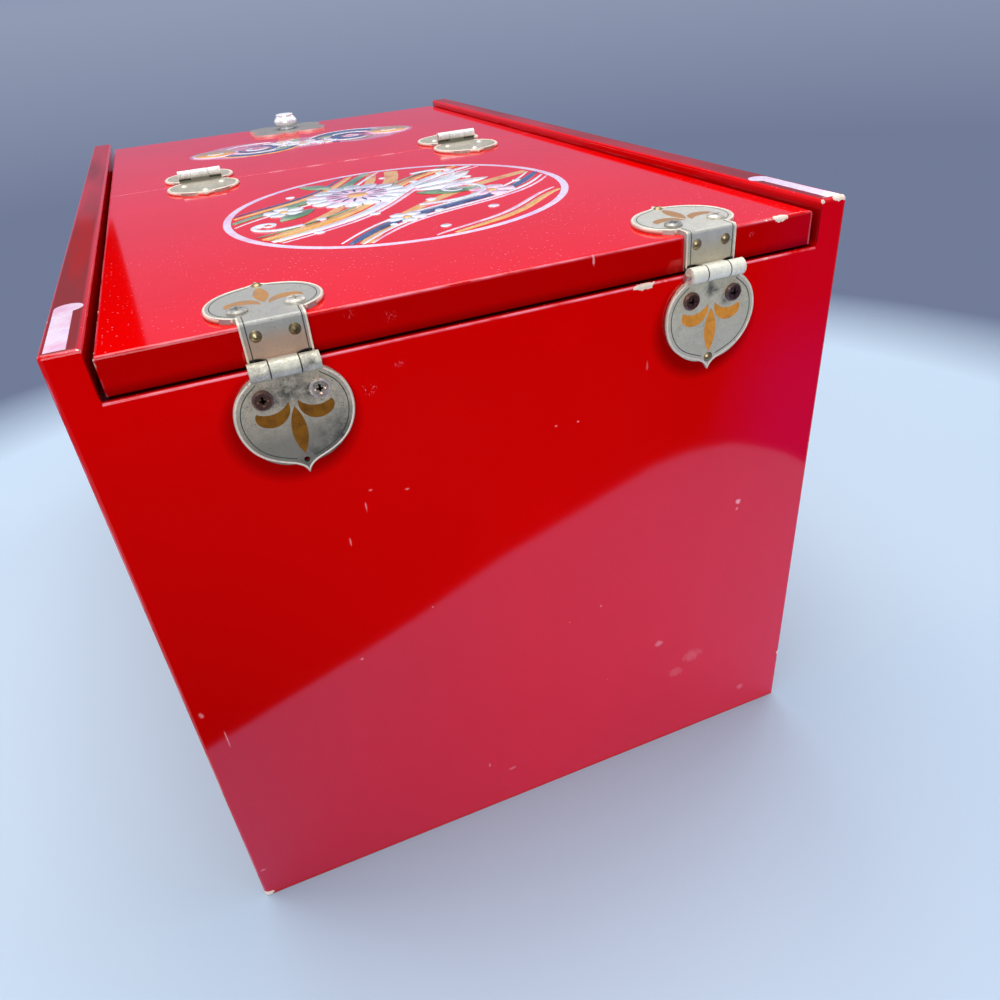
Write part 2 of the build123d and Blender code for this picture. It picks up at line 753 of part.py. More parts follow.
for name, side in (("right", 1), ("left", -1)):
    span = tuple(sorted((side * drawer_half, side * (drawer_half - drawer_wall))))
    wall = board(span, (drawer_front_y, drawer_back_y), (drawer_low, drawer_high))
    save(f"drawer_{name}_side", wall - drawer_floor)
back_span = (drawer_back_y - drawer_wall, drawer_back_y)
back_z = (floor_z[1], drawer_high)
save("drawer_back", board(both(drawer_half - drawer_wall), back_span, back_z))
save("drawer_floor", drawer_floor)
card = board(
    both(drawer_half - drawer_wall),
    (drawer_front_y, drawer_back_y - drawer_wall),
    (floor_z[1], floor_z[1] + drawer_card_thickness),
)
save("drawer_lining", card)
save("drawer_knob_plate", knob_plate(drawer_plane))
save("drawer_knob", knob(drawer_plane, drawer_front_thickness))
save("drawer_knob_nut", knob_nut(drawer_plane, drawer_front_thickness))
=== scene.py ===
import math

import bpy
import numpy as np
from mathutils import Matrix, Vector


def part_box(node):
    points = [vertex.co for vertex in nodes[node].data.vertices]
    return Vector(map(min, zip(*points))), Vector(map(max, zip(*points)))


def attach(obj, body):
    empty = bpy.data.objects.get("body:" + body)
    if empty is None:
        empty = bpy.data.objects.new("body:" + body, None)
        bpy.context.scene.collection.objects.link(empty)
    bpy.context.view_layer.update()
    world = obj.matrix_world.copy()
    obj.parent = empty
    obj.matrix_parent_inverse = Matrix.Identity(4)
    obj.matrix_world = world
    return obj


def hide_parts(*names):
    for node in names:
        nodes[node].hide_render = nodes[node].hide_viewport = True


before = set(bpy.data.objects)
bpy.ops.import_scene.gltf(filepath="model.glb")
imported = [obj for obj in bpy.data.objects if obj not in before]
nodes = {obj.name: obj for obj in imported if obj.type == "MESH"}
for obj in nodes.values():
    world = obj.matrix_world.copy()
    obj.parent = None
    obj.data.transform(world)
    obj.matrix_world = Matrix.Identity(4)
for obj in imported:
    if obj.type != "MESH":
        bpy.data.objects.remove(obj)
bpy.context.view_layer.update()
scene = bpy.context.scene
scene.view_settings.view_transform = "Standard"
mm = 0.001
print("frame loaded:", len(nodes), "nodes")

# Places read from the frame, in metres
sides = ("right", "left")
frontLeaf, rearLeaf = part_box("front_leaf_panel"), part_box("rear_leaf_panel")
lidTop, lidLow, lidRear = frontLeaf[1][2], rearLeaf[0][2], rearLeaf[1][1]
caseSide, caseRear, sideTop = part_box("right_side_panel")[1]
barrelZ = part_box("hinge_pins")[0][2] + 0.8 * mm
seamY = (rearLeaf[0][1] + frontLeaf[1][1]) / 2
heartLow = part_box("right_hinge_lower_leaf")[0][2]


def middleOf(name):
    low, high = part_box(name)
    return (low[0] + high[0]) / 2


hingeX = {side: middleOf(side + "_hinge_lower_leaf") for side in sides}


# Vertices and faces from arrays become one object
def addMesh(name, points, faces, finish):
    mesh = bpy.data.meshes.new(name)
    mesh.from_pydata(np.asarray(points, float).tolist(), [], [list(map(int, f)) for f in faces])
    mesh.materials.append(finish)
    obj = bpy.data.objects.new(name, mesh)
    scene.collection.objects.link(obj)
    return obj


# A smooth piece that rides on a CAD body
def addPiece(name, points, faces, finish, body, slot):
    piece = addMesh(name, points, faces, finish)
    piece.data.polygons.foreach_set("use_smooth", [True] * len(piece.data.polygons))
    piece.data.update()
    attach(piece, body)
    return piece


# Quads between neighbours of a grid: rows run along the path, columns run round the section
def gridFaces(rows, columns):
    r, c = np.meshgrid(np.arange(rows - 1), np.arange(columns), indexing="ij")
    n = (c + 1) % columns
    corners = [r * columns + c, r * columns + n, (r + 1) * columns + n, (r + 1) * columns + c]
    return np.stack(corners, -1).reshape(-1, 4)


# The same with its first and last row closed to two middle points, which follow the grid's own points
def tubeFaces(rows, columns):
    ring, last = np.arange(columns), (rows - 1) * columns
    following = np.roll(ring, -1)
    first, second = [np.full(columns, rows * columns + end) for end in (0, 1)]
    faces = list(gridFaces(rows, columns))
    faces += list(np.c_[following, ring, first])
    faces += list(np.c_[last + ring, last + following, second])
    return faces


# A tile is one outline stacked as three rings, base, wall top and an inset ring at full height, with
# both ends closed to a middle point; outline points run anticlockwise
def tile(outline, bottom, top, edge=0.12 * mm):
    outline = np.asarray(outline, float)
    count = len(outline)
    middle = outline.mean(0)
    spoke = outline - middle
    length = np.linalg.norm(spoke, axis=1, keepdims=True)
    inset = middle + spoke * np.clip(1 - edge / length, 0.3, 1)
    levels = ((outline, bottom), (outline, top - edge * 0.5), (inset, top))
    rings = [np.c_[ring, np.full(count, height)] for ring, height in levels]
    points = np.concatenate(rings + [[[*middle, bottom], [*middle, top]]])
    return points, tubeFaces(3, count)


def leftNormals(path):
    step = np.gradient(path, axis=0)
    step /= np.linalg.norm(step, axis=1, keepdims=True)
    return np.c_[-step[:, 1], step[:, 0]]


def turned(points, turn):
    c, s = math.cos(turn), math.sin(turn)
    return points @ np.array([[c, s], [-s, c]])


def around(count):
    return np.linspace(0, 2 * math.pi, count, endpoint=False)


# A section of (offset, height) points is carried along a path; an offset runs along the path's left normal
def sweep(path, offsets, heights):
    path = np.asarray(path, float)
    left = leftNormals(path)
    rows, columns = len(path), len(heights)
    offsets = np.broadcast_to(offsets, (rows, columns))
    flat = path[:, None] + left[:, None] * offsets[..., None]
    points = np.concatenate([flat, np.broadcast_to(heights, (rows, columns))[..., None]], -1)
    faces = list(gridFaces(rows, columns)[:, ::-1])
    faces += [list(range(columns)), list(range((rows - 1) * columns, rows * columns))[::-1]]
    return points.reshape(-1, 3), faces


# A ribbon is a flat-topped section with eased edges, carried along a path
def ribbon(path, width, bottom, top, edge=0.1 * mm):
    half = np.broadcast_to(width, len(path)) / 2
    ease = np.minimum(edge, half * 0.5)
    offsets = np.stack([-half, -half, -half + ease, half - ease, half, half], 1)
    return sweep(path, offsets, [bottom, top - edge * 0.5, top, top, top - edge * 0.5, bottom])


# Parts laid side by side in one mesh
def join(parts):
    points, faces, start = [], [], 0
    for partPoints, partFaces in parts:
        points.append(partPoints)
        faces += [[int(i) + start for i in face] for face in partFaces]
        start += len(partPoints)
    return np.concatenate(points), faces


# Parts joined and carried to their surface by a map from (across, along, height) to the frame
def laid(parts, ontoSurface):
    points, faces = join(parts)
    return ontoSurface(points[:, 0], points[:, 1], points[:, 2]), faces


# An output in a node tree; arithmetic on it adds the node that works out the result
class Wire:
    def __init__(self, tree, socket):
        self.tree, self.socket = tree, socket

    def calc(self, operation, other=0.0):
        return self.tree.node("ShaderNodeMath", {0: self, 1: other}, operation=operation)

    def __add__(self, other):
        return self.calc("ADD", other)

    def __sub__(self, other):
        return self.calc("SUBTRACT", other)

    def __mul__(self, other):
        return self.calc("MULTIPLY", other)

    def __lt__(self, other):
        return self.calc("LESS_THAN", other)

    # The way from low to high, held at both ends, then carried to toLow and toHigh
    def between(self, low, high, toLow=0.0, toHigh=1.0):
        return self.tree.node("ShaderNodeMapRange", {0: self, 1: low, 2: high, 3: toLow, 4: toHigh})

    def vectorCalc(self, operation, other=(0, 0, 0), output="Vector"):
        return self.tree.node("ShaderNodeVectorMath", {0: self, 1: other}, output, operation=operation)

    def parts(self):
        made = self.tree.add("ShaderNodeSeparateXYZ", {0: self})
        return [Wire(self.tree, made.outputs[axis]) for axis in range(3)]

    def noise(self, scale, detail=3.0, roughness=0.5):
        inputs = {"Vector": self, "Scale": scale, "Detail": detail, "Roughness": roughness}
        return self.tree.node("ShaderNodeTexNoise", inputs)


class Tree:
    def __init__(self, tree):
        self.tree = tree

    def feed(self, socket, value):
        if isinstance(value, Wire):
            self.tree.links.new(value.socket, socket)
        else:
            socket.default_value = value

    def add(self, kind, inputs=None, **settings):
        made = self.tree.nodes.new(kind)
        for key, value in settings.items():
            setattr(made, key, value)
        for key, value in (inputs or {}).items():
            self.feed(made.inputs[key], value)
        return made

    def node(self, kind, inputs=None, output=0, **settings):
        return Wire(self, self.add(kind, inputs, **settings).outputs[output])

    def mix(self, share, a, b):
        a, b = [tone if isinstance(tone, Wire) else (*tone, 1) for tone in (a, b)]
        return self.node("ShaderNodeMix", {0: share, 6: a, 7: b}, 2, data_type="RGBA")

    def place(self, scale=(1, 1, 1), turn=(0, 0, 0)):
        here = self.node("ShaderNodeTexCoord", output="Object")
        return self.node("ShaderNodeMapping", {"Vector": here, "Scale": scale, "Rotation": turn})


# A material whose colour is covered layer by layer before it goes to the shader
class Finish(Tree):
    def __init__(self, name, colour, **constants):
        self.material = bpy.data.materials.new(name)
        self.material.use_nodes = True
        super().__init__(self.material.node_tree)
        self.shader = self.tree.nodes["Principled BSDF"]
        self.colour = colour
        self.set(Base_Color=(*colour, 1), **constants)

    def set(self, **values):
        for name, value in values.items():
            self.feed(self.shader.inputs[name.replace("_", " ")], value)

    def cover(self, share, tone):
        self.colour = self.mix(share, self.colour, tone)

    def bump(self, height, strength, distance):
        inputs = {"Height": height, "Strength": strength, "Distance": distance}
        self.set(Normal=self.node("ShaderNodeBump", inputs))

    # How far a face looks up: 1 upwards, 0 sideways
    def facing(self):
        return self.node("ShaderNodeNewGeometry", output="Normal").parts()[2]

    # Dots, one to a cell, where the cell's random number allows one; the number sets its size too
    def dots(self, here, scale, spread, least):
        cells = self.add("ShaderNodeTexVoronoi", {"Vector": here, "Scale": scale})
        chance = self.node("ShaderNodeSeparateColor", {0: Wire(self, cells.outputs["Color"])})
        return Wire(self, cells.outputs["Distance"]) < chance * spread - least


def wear(finish, *names):
    for name in names:
        slots = nodes[name].data.materials
        slots.clear()
        slots.append(finish)


def scaled(values, factor):
    return tuple(value * factor for value in values)


# Some lacquer tones stand for light: sideways faces painted darker, painted shadow and shade in gaps, corners
# and low on the rear faces, and an edge line that is partly a painted highlight
lacquer = {
    "deep": (0.66, 0.0002, 0.0003), "bright": (0.76, 0.0004, 0.0006), "side": 1.0,
    "roughness": 0.3, "coat": 1.0, "coatRoughness": 0.07, "coatIor": 1.42, "rubbedCoat": 0.35,
    "wood": (0.95, 0.77, 0.60), "woodRoughness": 0.7, "woodShade": 0.7,
    "dust": (0.95, 0.17, 0.23), "scuff": (0.9, 0.24, 0.30),
    "edgeLine": (0.97, 0.40, 0.48), "edgeWidth": 0.9 * mm, "rubbed": (0.21, 0.034, 0.038),
    "corner": (0.30, 0.0002, 0.0006), "seam": (0.62, 0.075, 0.12),
    "nick": (0.95, 0.42, 0.42), "dirt": (0.16, 0.0, 0.0), "joint": (0.05, 0, 0), "aged": 0.72,
    "dustDots": (1050, 0.37, 0.13), "sparseDots": (95, 0.028, 0.006), "sparseShare": 0.7,
    "dirtShare": 0.7, "grimeShare": 0.75, "polishShare": 0.55, "nickShare": 0.85, "wobble": 1.8,
}
chipsOn = {  # bare wood, in millimetres: middle x, y, z, half length, half height
    "back_panel": [(-34.5, 151.5, 158.7, 2.3, 1.1)],
    "rear_leaf_panel": [(-72.3, 149.7, 167.3, 2.2, 1.2)],
    "left_side_panel": [
        (-88.0, 151.3, 169.8, 2.1, 1.1), (-82.8, 151.5, 169.5, 0.5, 0.5), (-90.0, 151.5, 19.5, 1.0, 1.3),
    ],
    "right_side_panel": [(89.8, 151.5, 0.8, 2.2, 1.0)],
}


# Marks given by x, z, half width, half height and strength, put on a rear face
def onFace(y, marks):
    return [(x, y / mm, *others) for x, *others in marks]


scuffsOn = {  # patches of fine pale scratches, in millimetres
    "back_panel": onFace(caseRear, [(32.2, 149.6, 1.7, 1.7, 0.9), (24.8, 153.4, 1.8, 1.0, 0.3)]),
    "rear_leaf_panel": onFace(lidRear, [
        (-64.0, 164.6, 1.0, 0.8, 0.4), (25.0, 163.4, 1.6, 1.4, 0.3), (33.0, 165.6, 1.4, 1.0, 0.3),
    ]),
}


# Pale rub marks along the seam
def rubs(wide, deep, strength):
    return [(x, seamY / mm, lidTop / mm, wide, deep, strength) for x in (22.3, 7.9, -6.1, -21.0)]


nicksOn = {  # small solid marks, in millimetres
    "back_panel": onFace(caseRear, [
        (37.9, 121.2, 0.17, 1.5, 0.55), (36.1, 125.2, 0.45, 0.3, 0.6),
        (27.8, 122.9, 0.5, 0.25, 0.5), (43.1, 113.0, 0.17, 1.1, 0.5),
        (46.9, 77.1, 0.35, 0.3, 0.6), (26.4, 86.5, 0.3, 0.3, 0.6),
        (17.0, 19.1, 0.3, 0.9, 0.35), (9.7, 13.7, 1.2, 0.5, 0.3),
        (-66.7, 89.3, 0.8, 0.8, 0.9), (-66.4, 86.8, 0.4, 0.5, 0.5),
        (-41.9, 44.4, 1.3, 1.0, 0.4), (-54.4, 33.9, 3.2, 2.2, 0.16),
        (-48.3, 29.1, 2.4, 2.0, 0.13), (-75.1, 10.1, 1.2, 1.2, 0.28),
        (-10.6, 128.9, 0.35, 0.25, 0.8), (-16.5, 128.5, 0.3, 0.25, 0.8),
        (-22.0, 67.5, 0.35, 0.4, 0.4), (-35.5, 138.6, 0.3, 1.3, 0.25),
    ]),
    "right_side_panel": onFace(caseRear, [
        (87.4, 76.0, 0.5, 0.9, 0.45), (83.8, 66.2, 0.17, 3.2, 0.6), (87.9, 11.9, 0.8, 0.3, 0.5),
    ]),
    "rear_leaf_panel": onFace(lidRear, [(-22.3, 166.1, 0.3, 1.1, 0.8)]) + rubs(3.4, 3.0, 0.10),
    "front_leaf_panel": rubs(3.4, 3.0, 0.10) + rubs(3.0, 1.0, 0.55),
}


# Distance from a mark's middle, counted so that the mark's rim is at 1
def markDistance(here, mark):
    x, y, z, along, across = mark[:5]
    offset = here.vectorCalc("SUBTRACT", (x * mm, y * mm, z * mm))
    inRims = offset.vectorCalc("MULTIPLY", (1000 / along, 1000 / across, 1000 / across))
    return inRims.vectorCalc("LENGTH", output="Value")


# Distance to the board's nearest edge: of the distances to its faces on three axes, the smallest of the
# larger ones of each pair
def edgeDistance(here, board):
    near = []
    for coordinate, low, high in zip(here.parts(), *board):
        near.append((coordinate - low).calc("MINIMUM", (coordinate - high) * -1))
    pairs = [near[i].calc("MAXIMUM", near[(i + 1) % 3]) for i in range(3)]
    return pairs[0].calc("MINIMUM", pairs[1]).calc("MINIMUM", pairs[2])


# Red lacquer over wood: a tone that drifts slowly, with faces that look sideways painted darker as shade,
# specks of dust on upper faces, a pale line along the edges that is partly where they are polished thin and
# partly a painted highlight, scratches in patches, sparse nicks, painted shadow round what is screwed on,
# painted shade in gaps, in the side boards' inner corners and towards the bottom of the rear faces, and bare
# wood at chips and along ragged bits of the edges
def lacquerFinish(name, board, chips=(), scuffs=(), nicks=(), shades=(), innerX=None, settings=lacquer):
    finish = Finish(
        name, settings["bright"], Roughness=settings["roughness"], Coat_Weight=settings["coat"],
        Coat_Roughness=settings["coatRoughness"], Coat_IOR=settings["coatIor"], Specular_IOR_Level=0.0,
    )
    here = finish.place()
    x, y, z = here.parts()
    facing = finish.facing()
    upward = facing.between(0.5, 0.9)
    red = finish.mix(here.noise(14).between(0.3, 0.7), settings["deep"], settings["bright"])
    # Faces that look sideways are painted darker than upper faces, as shade
    shadedSides = scaled(settings["deep"], settings["side"])
    finish.colour = finish.mix(upward, finish.mix(0.5, red, shadedSides), red)
    patchy = here.noise(30, 4).between(0.34, 0.62)
    speck = finish.dots(here, *settings["dustDots"])
    finish.cover(speck * upward * patchy * y.between(-0.02, 0.14, 0.25, 0.8), settings["dust"])
    finish.cover(finish.dots(here, *settings["sparseDots"]) * settings["sparseShare"], settings["scuff"])
    # Painted shadow round the pieces screwed onto the board
    for shade in shades:
        finish.cover(markDistance(here, shade).between(1.13, 0.9, 0, settings["dirtShare"]), settings["dirt"])
    # Painted shade at the foot of the lid's rear face, over the gap below it
    if name == "lacquer_rear_leaf_panel":
        low = z.between(lidLow + 2.2 * mm, lidLow, 0, settings["grimeShare"])
        finish.cover(y.between(lidRear - 0.6 * mm, lidRear) * low, settings["dirt"])
    # Painted shade: the rear faces darker towards +X and towards the bottom
    if name in ("lacquer_back_panel", "lacquer_right_side_panel"):
        aged = x.between(0, 0.085) * z.between(0.155, 0.07)
        finish.cover(aged, scaled(settings["deep"], settings["aged"]))
    # Painted shade on the back panel's top in the gap under the lid, inward of its rear edge
    if name == "lacquer_back_panel":
        finish.cover(y.between(caseRear - 0.8 * mm, caseRear - 1.6 * mm), settings["joint"])
    edge = edgeDistance(here, board)
    # A pale line along the edges, partly lacquer polished thin and partly a painted highlight
    paleEdge = edge.between(0.55 * mm, 0.2 * mm) * here.noise(90, 4).between(0.40, 0.58)
    finish.cover(paleEdge * settings["polishShare"], settings["edgeLine"])
    if "leaf_panel" in name:
        thin = (y - seamY).calc("ABSOLUTE").between(0.6 * mm, 0.35 * mm) * patchy.between(0, 1, 0.35, 1.0)
        finish.cover(thin * x.between(0.03, 0.06, 0.35, 1.4), settings["seam"])
    coat = settings["coat"]
    if innerX is not None:
        # Painted shade on the side board's inner face, darker down towards the lid
        cornerShadeMask = z.between(sideTop - 0.8 * mm, lidTop) * z.between(lidTop - 8 * mm, lidTop - 7 * mm)
        cornerShadeMask = cornerShadeMask * (x - innerX).calc("ABSOLUTE").between(0.3 * mm, 0.15 * mm)
        finish.cover(cornerShadeMask * y.between(0.09, 0.14, 0.5, 1.0), settings["corner"])
        smear = finish.place((140, 12, 140)).noise(1.0, 4).between(0.3, 0.6, 0.55, 1.0)
        rubbed = facing.between(0.8, 0.98) * smear
        finish.cover(rubbed, settings["rubbed"])
        coat = rubbed.between(0, 1, coat, settings["rubbedCoat"])
    streaks = finish.place((2400, 2400, 620), (0, 0.5, 0)).noise(1.0, 2, 0.7).between(0.60, 0.66)
    scratch = streaks.calc("MAXIMUM", here.noise(1500, 3, 0.7).between(0.60, 0.66))
    for mark in scuffs:
        finish.cover(markDistance(here, mark).between(1.1, 0.35) * scratch * mark[5], settings["scuff"])
    wobble = (here.noise(900, 3) - 0.5) * settings["wobble"]
    for mark in nicks:
        far = markDistance(here, mark) + wobble
        finish.cover(far.between(1.2, 0.6, 0, mark[5] * settings["nickShare"]), settings["nick"])
    ragged = here.noise(420, 4, 0.65).between(0.5, 0.78, 0.0, settings["edgeWidth"])
    bare = (edge < ragged) * here.noise(33, 2).between(0.58, 0.62)
    for mark in chips:
        bare = bare.calc("MAXIMUM", markDistance(here, mark) + wobble < 1.0)
    grain = finish.place((900, 900, 60)).noise(1.0, 2)
    dark = scaled(settings["wood"], settings["woodShade"])
    finish.cover(bare, finish.mix(grain, settings["wood"], dark))
    roughness = bare.between(0, 1, settings["roughness"], settings["woodRoughness"])
    coat = bare.between(0, 1, 1, 0) * coat
    finish.set(Base_Color=finish.colour, Roughness=roughness, Coat_Weight=coat)
    finish.bump(here.noise(260, 2) * 0.08 - bare, 0.5, 0.12 * mm)
    return finish.material


farOut = 200 * mm  # a bound that lies off the board, so that no edge is drawn there
wholeCase = ((-caseSide, -caseRear, -farOut), (caseSide, caseRear, sideTop))
outlines = {  # edges that show; joints glued flush under the lacquer have none
    "back_panel": ((-farOut, -farOut, -farOut), (farOut, caseRear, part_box("back_panel")[1][2])),
    "right_side_panel": wholeCase, "left_side_panel": wholeCase,
    "rear_leaf_panel": ((rearLeaf[0][0], -farOut, 0), rearLeaf[1]),
    "front_leaf_panel": (frontLeaf[0], (frontLeaf[1][0], farOut, lidTop)),
}
# Painted shadow round the lower heart leaves, a little down and to the +X side of them
shadowRound = [(hingeX[side] / mm + 0.9, caseRear / mm, heartLow / mm + 11.6, 13.4, 12.6) for side in sides]
redBoards = [
    "right_side_panel", "left_side_panel", "back_panel", "front_rail", "rear_leaf_panel",
    "front_leaf_panel", "drawer_front", "bottom_panel", "mirror_frame",
]
innerFace = {
    "right_side_panel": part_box("right_side_panel")[0][0], "left_side_panel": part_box("left_side_panel")[1][0],
}
for name in redBoards:
    board = outlines.get(name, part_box(name))
    marks = [marked.get(name, ()) for marked in (chipsOn, scuffsOn, nicksOn)]
    # The lid's rear face is painted darker still, as shade
    tones = {**lacquer, "side": 0.42} if name == "rear_leaf_panel" else lacquer
    shades = shadowRound if name == "back_panel" else ()
    wear(lacquerFinish("lacquer_" + name, board, *marks, shades, innerFace.get(name), tones), name)
print("lacquer done")

pewter = {
    "bright": (0.53, 0.51, 0.44), "dull": (0.27, 0.26, 0.20), "dark": (0.03, 0.03, 0.025),
    "metallic": 0.40, "roughness": 0.38, "worn": 0.75,
}
# The +X hinge is the duller one
lowerTones = {
    "right": {"bright": (0.60, 0.51, 0.37), "dull": (0.20, 0.18, 0.13)},
    "left": {"bright": (0.74, 0.66, 0.46), "dull": (0.38, 0.35, 0.24)},
}
# The +X strap's pinkish cast is a painted reflection of the red lid
strapTonesAndReflection = {"right": (0.52, 0.33, 0.22), "left": (0.60, 0.53, 0.37)}
# The -X barrel's near-white tone is partly a painted highlight
barrelTones = {  # tone, share of patina, metallic
    "right": ((0.75, 0.70, 0.54), 1.15, pewter["metallic"]),
    "left": ((1.0, 0.95, 0.76), pewter["worn"], 0.15),
}
duskTones = {"right": (0.27, 0.24, 0.18), "left": (0.66, 0.60, 0.44)}
silverTones = {"right": (0.42, 0.40, 0.35), "left": (0.60, 0.57, 0.48)}


# Nickel-plated pewter, mottled in three sizes with fine pits. A zone takes over its tone between two
# heights on one axis, a spot is a patch of dark patina with a broken rim, and a crease is painted black
# shade in a narrow gap.
def pewterFinish(name, settings=pewter, zones=(), spots=(), shadedCreases=(), sideTone=None, patina=0.75):
    rough, metal = settings["roughness"], settings["metallic"]
    finish = Finish(name, settings["bright"], Metallic=metal, Roughness=rough)
    here = finish.place()
    cloudy = here.noise(130, 4, 0.6).between(0.38, 0.66)
    mottle = here.noise(520, 5, 0.7).between(0.38, 0.66)
    fine = here.noise(2300, 4, 0.7).between(0.40, 0.62)
    share = (cloudy * 0.3 + mottle * 0.35 + fine * 0.35) * patina
    finish.colour = finish.mix(share, settings["bright"], settings["dull"])
    for axis, start, full, tone, *barrel in zones:
        worn, zoneMetal = barrel or (settings["worn"], metal)
        inZone = here.parts()[axis].between(start, full)
        finish.cover(inZone, finish.mix(share * worn, tone, settings["dull"]))
        if zoneMetal != metal:
            finish.set(Metallic=inZone.between(0, 1, metal, zoneMetal))
    if sideTone:
        finish.cover(finish.facing().between(0.6, 0.2), sideTone)
    pits = finish.node("ShaderNodeTexVoronoi", {"Vector": here, "Scale": 1300.0}, "Distance")
    soot = (pits < 0.16) * here.noise(120, 2).between(0.5, 0.6)
    for x, y, z, size in spots:
        off = here.vectorCalc("DISTANCE", (x * mm, y * mm, z * mm), "Value")
        near = off.between(size * mm, size * 0.35 * mm) * mottle.between(0.0, 0.8, 0.1, 1.0)
        soot = soot.calc("MAXIMUM", near)
    finish.cover(soot * 0.85, settings["dark"])
    for shadedCrease in shadedCreases:
        finish.cover(markDistance(here, shadedCrease).between(1.1, 0.8), (0, 0, 0))
    finish.set(Base_Color=finish.colour, Roughness=share.between(0, 1, rough, rough + 0.25))
    finish.bump(fine - soot, 0.55, 0.05 * mm)
    return finish.material


# Shell with a hue that drifts between its tints and faint growth lines, under a clear gloss
def shellFinish(name, tints, lines=0.12):
    finish = Finish(
        name, tints[0], Roughness=0.24, Coat_Weight=0.6, Coat_Roughness=0.06,
        Thin_Film_Thickness=320.0, Thin_Film_IOR=1.45, Specular_IOR_Level=0.5,
    )
    drift = finish.add("ShaderNodeValToRGB", {0: finish.place().noise(110, 3).between(0.32, 0.68)})
    ramp = drift.color_ramp
    while len(ramp.elements) < len(tints):
        ramp.elements.new(0.5)
    for index, tint in enumerate(tints):
        ramp.elements[index].position = index / (len(tints) - 1)
        ramp.elements[index].color = (*tint, 1)
    wave = {"Vector": finish.place(turn=(0, 0, 0.6)), "Scale": 190.0, "Distortion": 9.0}
    growth = finish.node("ShaderNodeTexWave", wave, "Fac")
    shaded = {0: Wire(finish, drift.outputs["Color"]), "Scale": growth.between(0, 1, 1 - lines, 1)}
    finish.set(Base_Color=finish.node("ShaderNodeVectorMath", shaded, operation="SCALE"))
    finish.bump(growth, 0.1, 0.02 * mm)
    return finish.material


# Metal or enamel whose tone drifts between two colours, another tone in patches and painted black shade in its
# creases
def metalFinish(name, light, dark, roughness, scale=500, metallic=1.0, shadedCreases=(), patches=()):
    finish = Finish(name, light, Metallic=metallic, Roughness=roughness)
    here = finish.place()
    share = here.noise(scale, 5, 0.65).between(0.38, 0.65)
    finish.colour = finish.mix(share, light, dark)
    for mark in patches:
        finish.cover(markDistance(here, mark).between(1.05, 0.9, 0, 0.85), mark[5])
    for shadedCrease in shadedCreases:
        finish.cover(markDistance(here, shadedCrease).between(1.05, 0.9), (0, 0, 0))
    finish.set(Base_Color=finish.colour, Roughness=share.between(0, 1, roughness, roughness + 0.2))
    finish.bump(share, 0.15, 0.04 * mm)
    return finish.material


# Amber enamel, deeper on the +X hinge than on the other, with dark flecks where it has thinned
def amberFinish(name, deep, clear, fleck):
    finish = Finish(
        name, clear, Roughness=0.34, Coat_Weight=0.15, Coat_Roughness=0.15, Specular_IOR_Level=0.3,
    )
    here = finish.place()
    across = here.parts()[0].between(-20 * mm, 20 * mm)
    thin = here.noise(420, 5, 0.7).between(0.42, 0.66) * across.between(0, 1, 0.3, 0.75)
    finish.set(Base_Color=finish.mix(thin, finish.mix(across, clear, deep), fleck))
    finish.bump(thin, 0.2, 0.05 * mm)
    return finish.material


# Velvet: a short pile whose lean changes in soft patches, with sheen over it
def velvetFinish(name, light, dark):
    tint = (*[min(1, c * 2.2 + 0.08) for c in light], 1)
    finish = Finish(name, light, Roughness=0.9, Sheen_Weight=0.8, Sheen_Roughness=0.35, Sheen_Tint=tint)
    here = finish.place()
    lean = here.noise(38, 4, 0.6).between(0.35, 0.65)
    pile = here.noise(2600, 2, 0.7)
    finish.set(Base_Color=finish.mix(lean * 0.6 + pile * 0.4, dark, light))
    finish.bump(pile, 0.6, 0.2 * mm)
    return finish.material


# Wood: rings stretched along the board, with pores
def woodFinish(name, light, dark, stretch=(30, 2.5, 30)):
    finish = Finish(name, light, Roughness=0.55)
    wave = {"Vector": finish.place(stretch), "Scale": 1.6, "Distortion": 5.0, "Detail": 3.0}
    rings = finish.node("ShaderNodeTexWave", wave, "Fac", wave_type="RINGS")
    pores = finish.place(scaled(stretch, 40)).noise(1.0, 2)
    finish.set(Base_Color=finish.mix(rings * 0.6 + pores * 0.4, dark, light))
    finish.bump(pores, 0.3, 0.06 * mm)
    return finish.material


shellTints = {
    "gold": [(0.88, 0.38, 0.05), (0.92, 0.50, 0.14), (0.80, 0.27, 0.04)],
    "navy": [(0.02, 0.04, 0.13), (0.06, 0.11, 0.26), (0.03, 0.03, 0.07)],
    "green": [(0.07, 0.17, 0.08), (0.18, 0.32, 0.15), (0.38, 0.45, 0.28)],
    "pale": [(0.82, 0.72, 0.84), (0.94, 0.90, 0.92), (0.74, 0.80, 0.78), (0.92, 0.68, 0.78)],
    "pink": [(0.90, 0.48, 0.60), (0.95, 0.72, 0.80), (0.82, 0.36, 0.52)],
}
ringTints = [(0.90, 0.54, 0.70), (0.95, 0.78, 0.88), (0.84, 0.58, 0.82)]
roseTints = [(0.80, 0.09, 0.16), (0.88, 0.32, 0.42), (0.78, 0.12, 0.20)]
shells = {tint: shellFinish("shell_" + tint, tints) for tint, tints in shellTints.items()}
ringShell = shellFinish("shell_ring", ringTints, lines=0.06)
wear(ringShell, "medallion_ring", "right_edge_inlay", "left_edge_inlay")
wear(shells["gold"], "medallion_streams")
wear(shellFinish("shell_rose", roseTints), "front_cloud_inlay")

